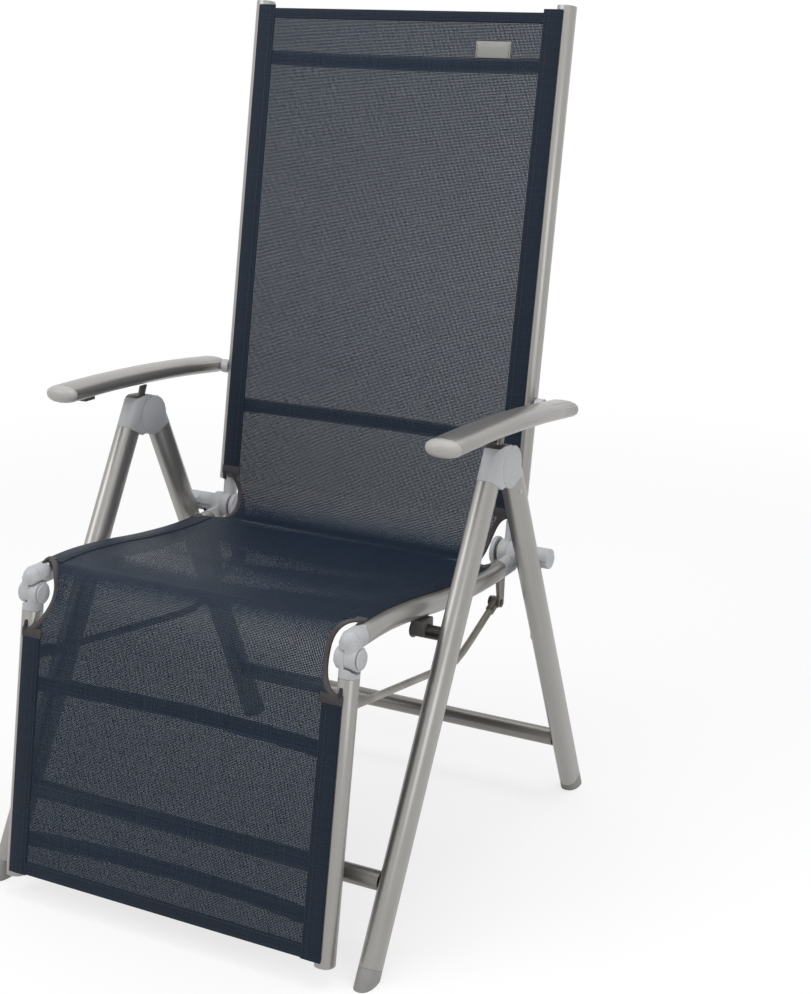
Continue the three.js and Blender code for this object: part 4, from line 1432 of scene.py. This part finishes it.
    def build(self) -> None:
        """Makes and places every piece of the sling."""
        for run, body in (("leg", "leg_rest"), ("seat", "seat"), ("back", "backrest")):
            self.panel(run, body, self.line.nodes[run])
        self.cut_out("hip", self.line.nodes["hip"])
        self.cut_out("knee", self.line.nodes["knee"])
        self.cross_hems()
        self.hem_ends()
        self.label()

    def hem_ends(self) -> None:
        """Makes the bindings over the side hems' ends at the cut-outs, and their edge cords' ends."""
        marks = self.line.marks
        full, part = self.hem_width + 1.5 * MM, 0.5 * self.hem_width
        spots = (
            ("leg_top", "leg_rest", marks["leg"][1], 1, full),
            ("seat_front", "seat", marks["seat"][0], -1, part),
            ("seat_rear", "seat", marks["seat"][1], 1, part),
            ("back_foot", "backrest", marks["back"][0], -1, full),
        )
        for name, body, end, ahead, width in spots:
            for side in Side:
                outer = side.value * (self.half_width + 0.2 * MM)
                inner = side.value * (self.half_width - width)
                edge = end + ahead * 0.4 * MM
                path = [(outer + (inner - outer) * k / 8, edge) for k in range(9)]
                turn = side.value * ahead
                binding = self.band(f"{name}_binding_{side.word}", path, *self.binding, turn, True)
                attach(self.dress(binding, BINDING), body)
                start = side.value * (self.half_width - 1.0 * MM)
                low = end - ahead * self.cord_sunk
                path = [(start, low + ahead * self.cord_length * k / 6) for k in range(7)]
                cord = self.band(f"{name}_cord_{side.word}", path, *self.cord, turn, True)
                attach(self.dress(cord, CORD), body)

    def panel(self, run: str, body: str, node: str) -> None:
        """Makes one stretched panel with its side hems and their double rows of stitches."""
        low, high = self.line.marks[run]
        upper = 5 * MM if run == "back" else 0.0
        lower = 1 * MM if run == "leg" else 0.0
        rows = self.rows(run, lower, upper)
        panel = self.dress(self.slab(f"{run}_panel", rows), MESH)
        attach(panel, body)
        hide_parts(node)
        extras = []
        count = max(2, math.ceil((high - low) / self.row_step))
        for side in Side:
            steps = [low + (high - low) * k / count for k in range(count + 1)]
            edge = [(side.value * self.half_width, along) for along in steps]
            hem = self.band(
                f"{run}_hem_{side.word}", edge, self.hem_width, self.hem_low, self.hem_high, side.value,
            )
            extras.append(self.dress(hem, HEM))
            for number, inset in enumerate(self.stitch_insets, 1):
                row = [(side.value * (self.half_width - inset), along) for along in steps]
                word = f"{run}_stitches_{side.word}_{number}"
                sewn = self.stitches(word, row, self.hem_high + self.on_hem)
                extras.append(self.dress(sewn, THREAD))
        for extra in extras:
            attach(extra, body)
        area = 2 * rows[0][0] * (rows[-1][1] - rows[0][1])

    def cut_out(self, name: str, node: str) -> None:
        """Makes the narrow bend between two panels, in two halves, with its tapes and stitches."""
        low, high = self.ends[name]
        steps = self.cut_steps
        curve = [self.reach_of_cut(name, k / steps) for k in range(steps + 1)]
        halves = (("lower", curve[: steps // 2 + 1]), ("upper", curve[steps // 2:]))
        middle = self.line.at(0.0, (low + high) / 2)
        places = {"lower": (self.line.at(0.0, low), middle), "upper": (middle, self.line.at(0.0, high))}
        for part, rows in halves:
            bend = self.dress(self.slab(f"{name}_bend_{part}", rows), MESH)
            extras = []
            for side in Side:
                edge = [(side.value * half, along) for half, along in rows]
                tape = self.band(
                    f"{name}_tape_{part}_{side.word}", edge, self.tape_width, self.tape_low, self.tape_high,
                    side.value, True,
                )
                extras.append(self.dress(tape, TAPE))
                row = np.array(edge) + inward(np.array(edge), side.value) * self.tape_stitch_inset
                word = f"{name}_tape_stitches_{part}_{side.word}"
                sewn = self.stitches(word, row, self.tape_high + self.on_tape)
                extras.append(self.dress(sewn, THREAD))
            for piece in (bend, *extras):
                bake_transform(piece)
            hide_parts(node)
            area = sum((a[0] + b[0]) * (b[1] - a[1]) for a, b in zip(rows, rows[1:]))
            flat = (2 * self.half_width, rows[-1][1] - rows[0][1])

    def cross_hems(self) -> None:
        """Makes the folded hems across the top of the back and the foot of the leg rest."""
        inner = self.half_width - self.hem_width + 1 * MM
        steps = self.cross_steps
        for run, body, edge, width, inside in (
            ("back", "backrest", self.top - 4.5 * MM, 14 * MM, -1),
            ("leg", "leg_rest", 0.8 * MM, 17 * MM, 1),
        ):
            path = [(inner * (1 - 2 * k / steps), edge) for k in range(steps + 1)][::-inside]
            hem = self.band(f"{run}_cross_hem", path, width, self.cross_low, self.cross_high, 1)
            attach(self.dress(hem, HEM), body)
            row = [(across, edge + inside * (width - 2.5 * MM)) for across, _ in path]
            sewn = self.stitches(f"{run}_cross_stitches", row, self.cross_high + self.on_hem)
            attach(self.dress(sewn, THREAD), body)

    def label(self) -> None:
        """Makes the blank woven tab that is sewn near the top of the back."""
        across, along = self.label_across, self.top - self.label_drop
        half, tall, inset = self.label_half, self.label_tall, self.label_stitch
        path = [(across - half + 2 * half * k / 12, along + tall) for k in range(13)]
        tab = self.band("blank_label", path, 2 * tall, 0.2 * MM, 1.1 * MM, -1, True)
        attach(self.dress(tab, LABEL), "backrest")
        for number, place in enumerate((across - half + inset, across + half - inset), 1):
            row = [(place, along - tall + 2 * tall * k / 6) for k in range(7)]
            sewn = self.stitches(f"label_stitches_{number}", row, 1.2 * MM)
            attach(self.dress(sewn, THREAD), "backrest")


# Studio


@dataclass
class Studio:
    """The floor, the world, the lamps and the camera."""

    camera_place: tuple[float, float, float] = (1.184, -1.878, 1.147)
    yaw: float = 28.554
    pitch: float = 16.961
    lens: float = 79.99
    world_strength: float = 0.46
    floor_radius: float = 7.0
    aim: tuple[float, float, float] = (0.0, 0.0, 0.5)
    lamps: tuple[tuple[str, tuple[float, float, float], float, float], ...] = (
        ("key_softbox", (-1.6, -1.9, 2.4), 1.8, 26.0),
        ("top_softbox", (0.4, 0.2, 3.0), 2.2, 34.0),
        ("fill_softbox", (2.4, -1.2, 1.2), 1.6, 12.0),
    )

    def build(self) -> None:
        """Makes the studio."""
        self.floor()
        self.world()
        for lamp in self.lamps:
            self.lamp(*lamp)
        self.camera()
        bpy.context.scene.view_settings.view_transform = "Standard"

    def floor(self) -> None:
        """Makes the floor."""
        bpy.ops.object.select_all(action="DESELECT")
        bpy.ops.mesh.primitive_circle_add(
            vertices=96, radius=self.floor_radius, fill_type="NGON", location=(0, 0, 0),
        )
        floor = bpy.context.object
        floor.name = "studio_floor"
        floor.data.materials.append(FLOOR.material())

    def world(self) -> None:
        """Lights the scene evenly, and shows white to the camera and to gloss."""
        world = bpy.data.worlds.new("studio_world")
        bpy.context.scene.world = world
        world.use_nodes = True
        graph = Graph(world.node_tree)
        soft, white = (
            graph.node("ShaderNodeBackground", None, {"Color": WHITE, "Strength": strength})
            for strength in (self.world_strength, 1.0)
        )
        surface = graph.node("ShaderNodeMixShader", None, {0: graph.direct(), 1: soft, 2: white})
        graph.node("ShaderNodeOutputWorld", None, {"Surface": surface}, None)

    def lamp(self, name: str, place: tuple[float, float, float], size: float, power: float) -> None:
        """Makes a square softbox that looks at the middle of the chair."""
        data = bpy.data.lights.new(name, "AREA")
        data.shape, data.size, data.energy = "SQUARE", size, power
        lamp = bpy.data.objects.new(name, data)
        bpy.context.scene.collection.objects.link(lamp)
        lamp.location = place
        aim = Vector(self.aim) - Vector(place)
        lamp.rotation_mode = "QUATERNION"
        lamp.rotation_quaternion = aim.to_track_quat("-Z", "Y")

    def camera(self) -> None:
        """Makes the camera at the photograph's viewing angle."""
        data = bpy.data.cameras.new("view_camera")
        data.sensor_fit, data.sensor_width, data.lens = "HORIZONTAL", 36.0, self.lens
        camera = bpy.data.objects.new("view_camera", data)
        bpy.context.scene.collection.objects.link(camera)
        camera.location = self.camera_place
        camera.rotation_euler = (math.radians(90 - self.pitch), 0.0, math.radians(self.yaw))
        bpy.context.scene.camera = camera


def main() -> None:
    """Builds the studio and every sub-assembly, in order."""
    logging.basicConfig(level=logging.INFO, format="%(message)s")
    Studio().build()
    for assembly in (FrontFrame(), RearFrame(), Seat(), Backrest(), LegRest(), Linkage(), Armrests()):
        assembly.build()
    Sling().build()


if __name__ == "__main__":
    main()
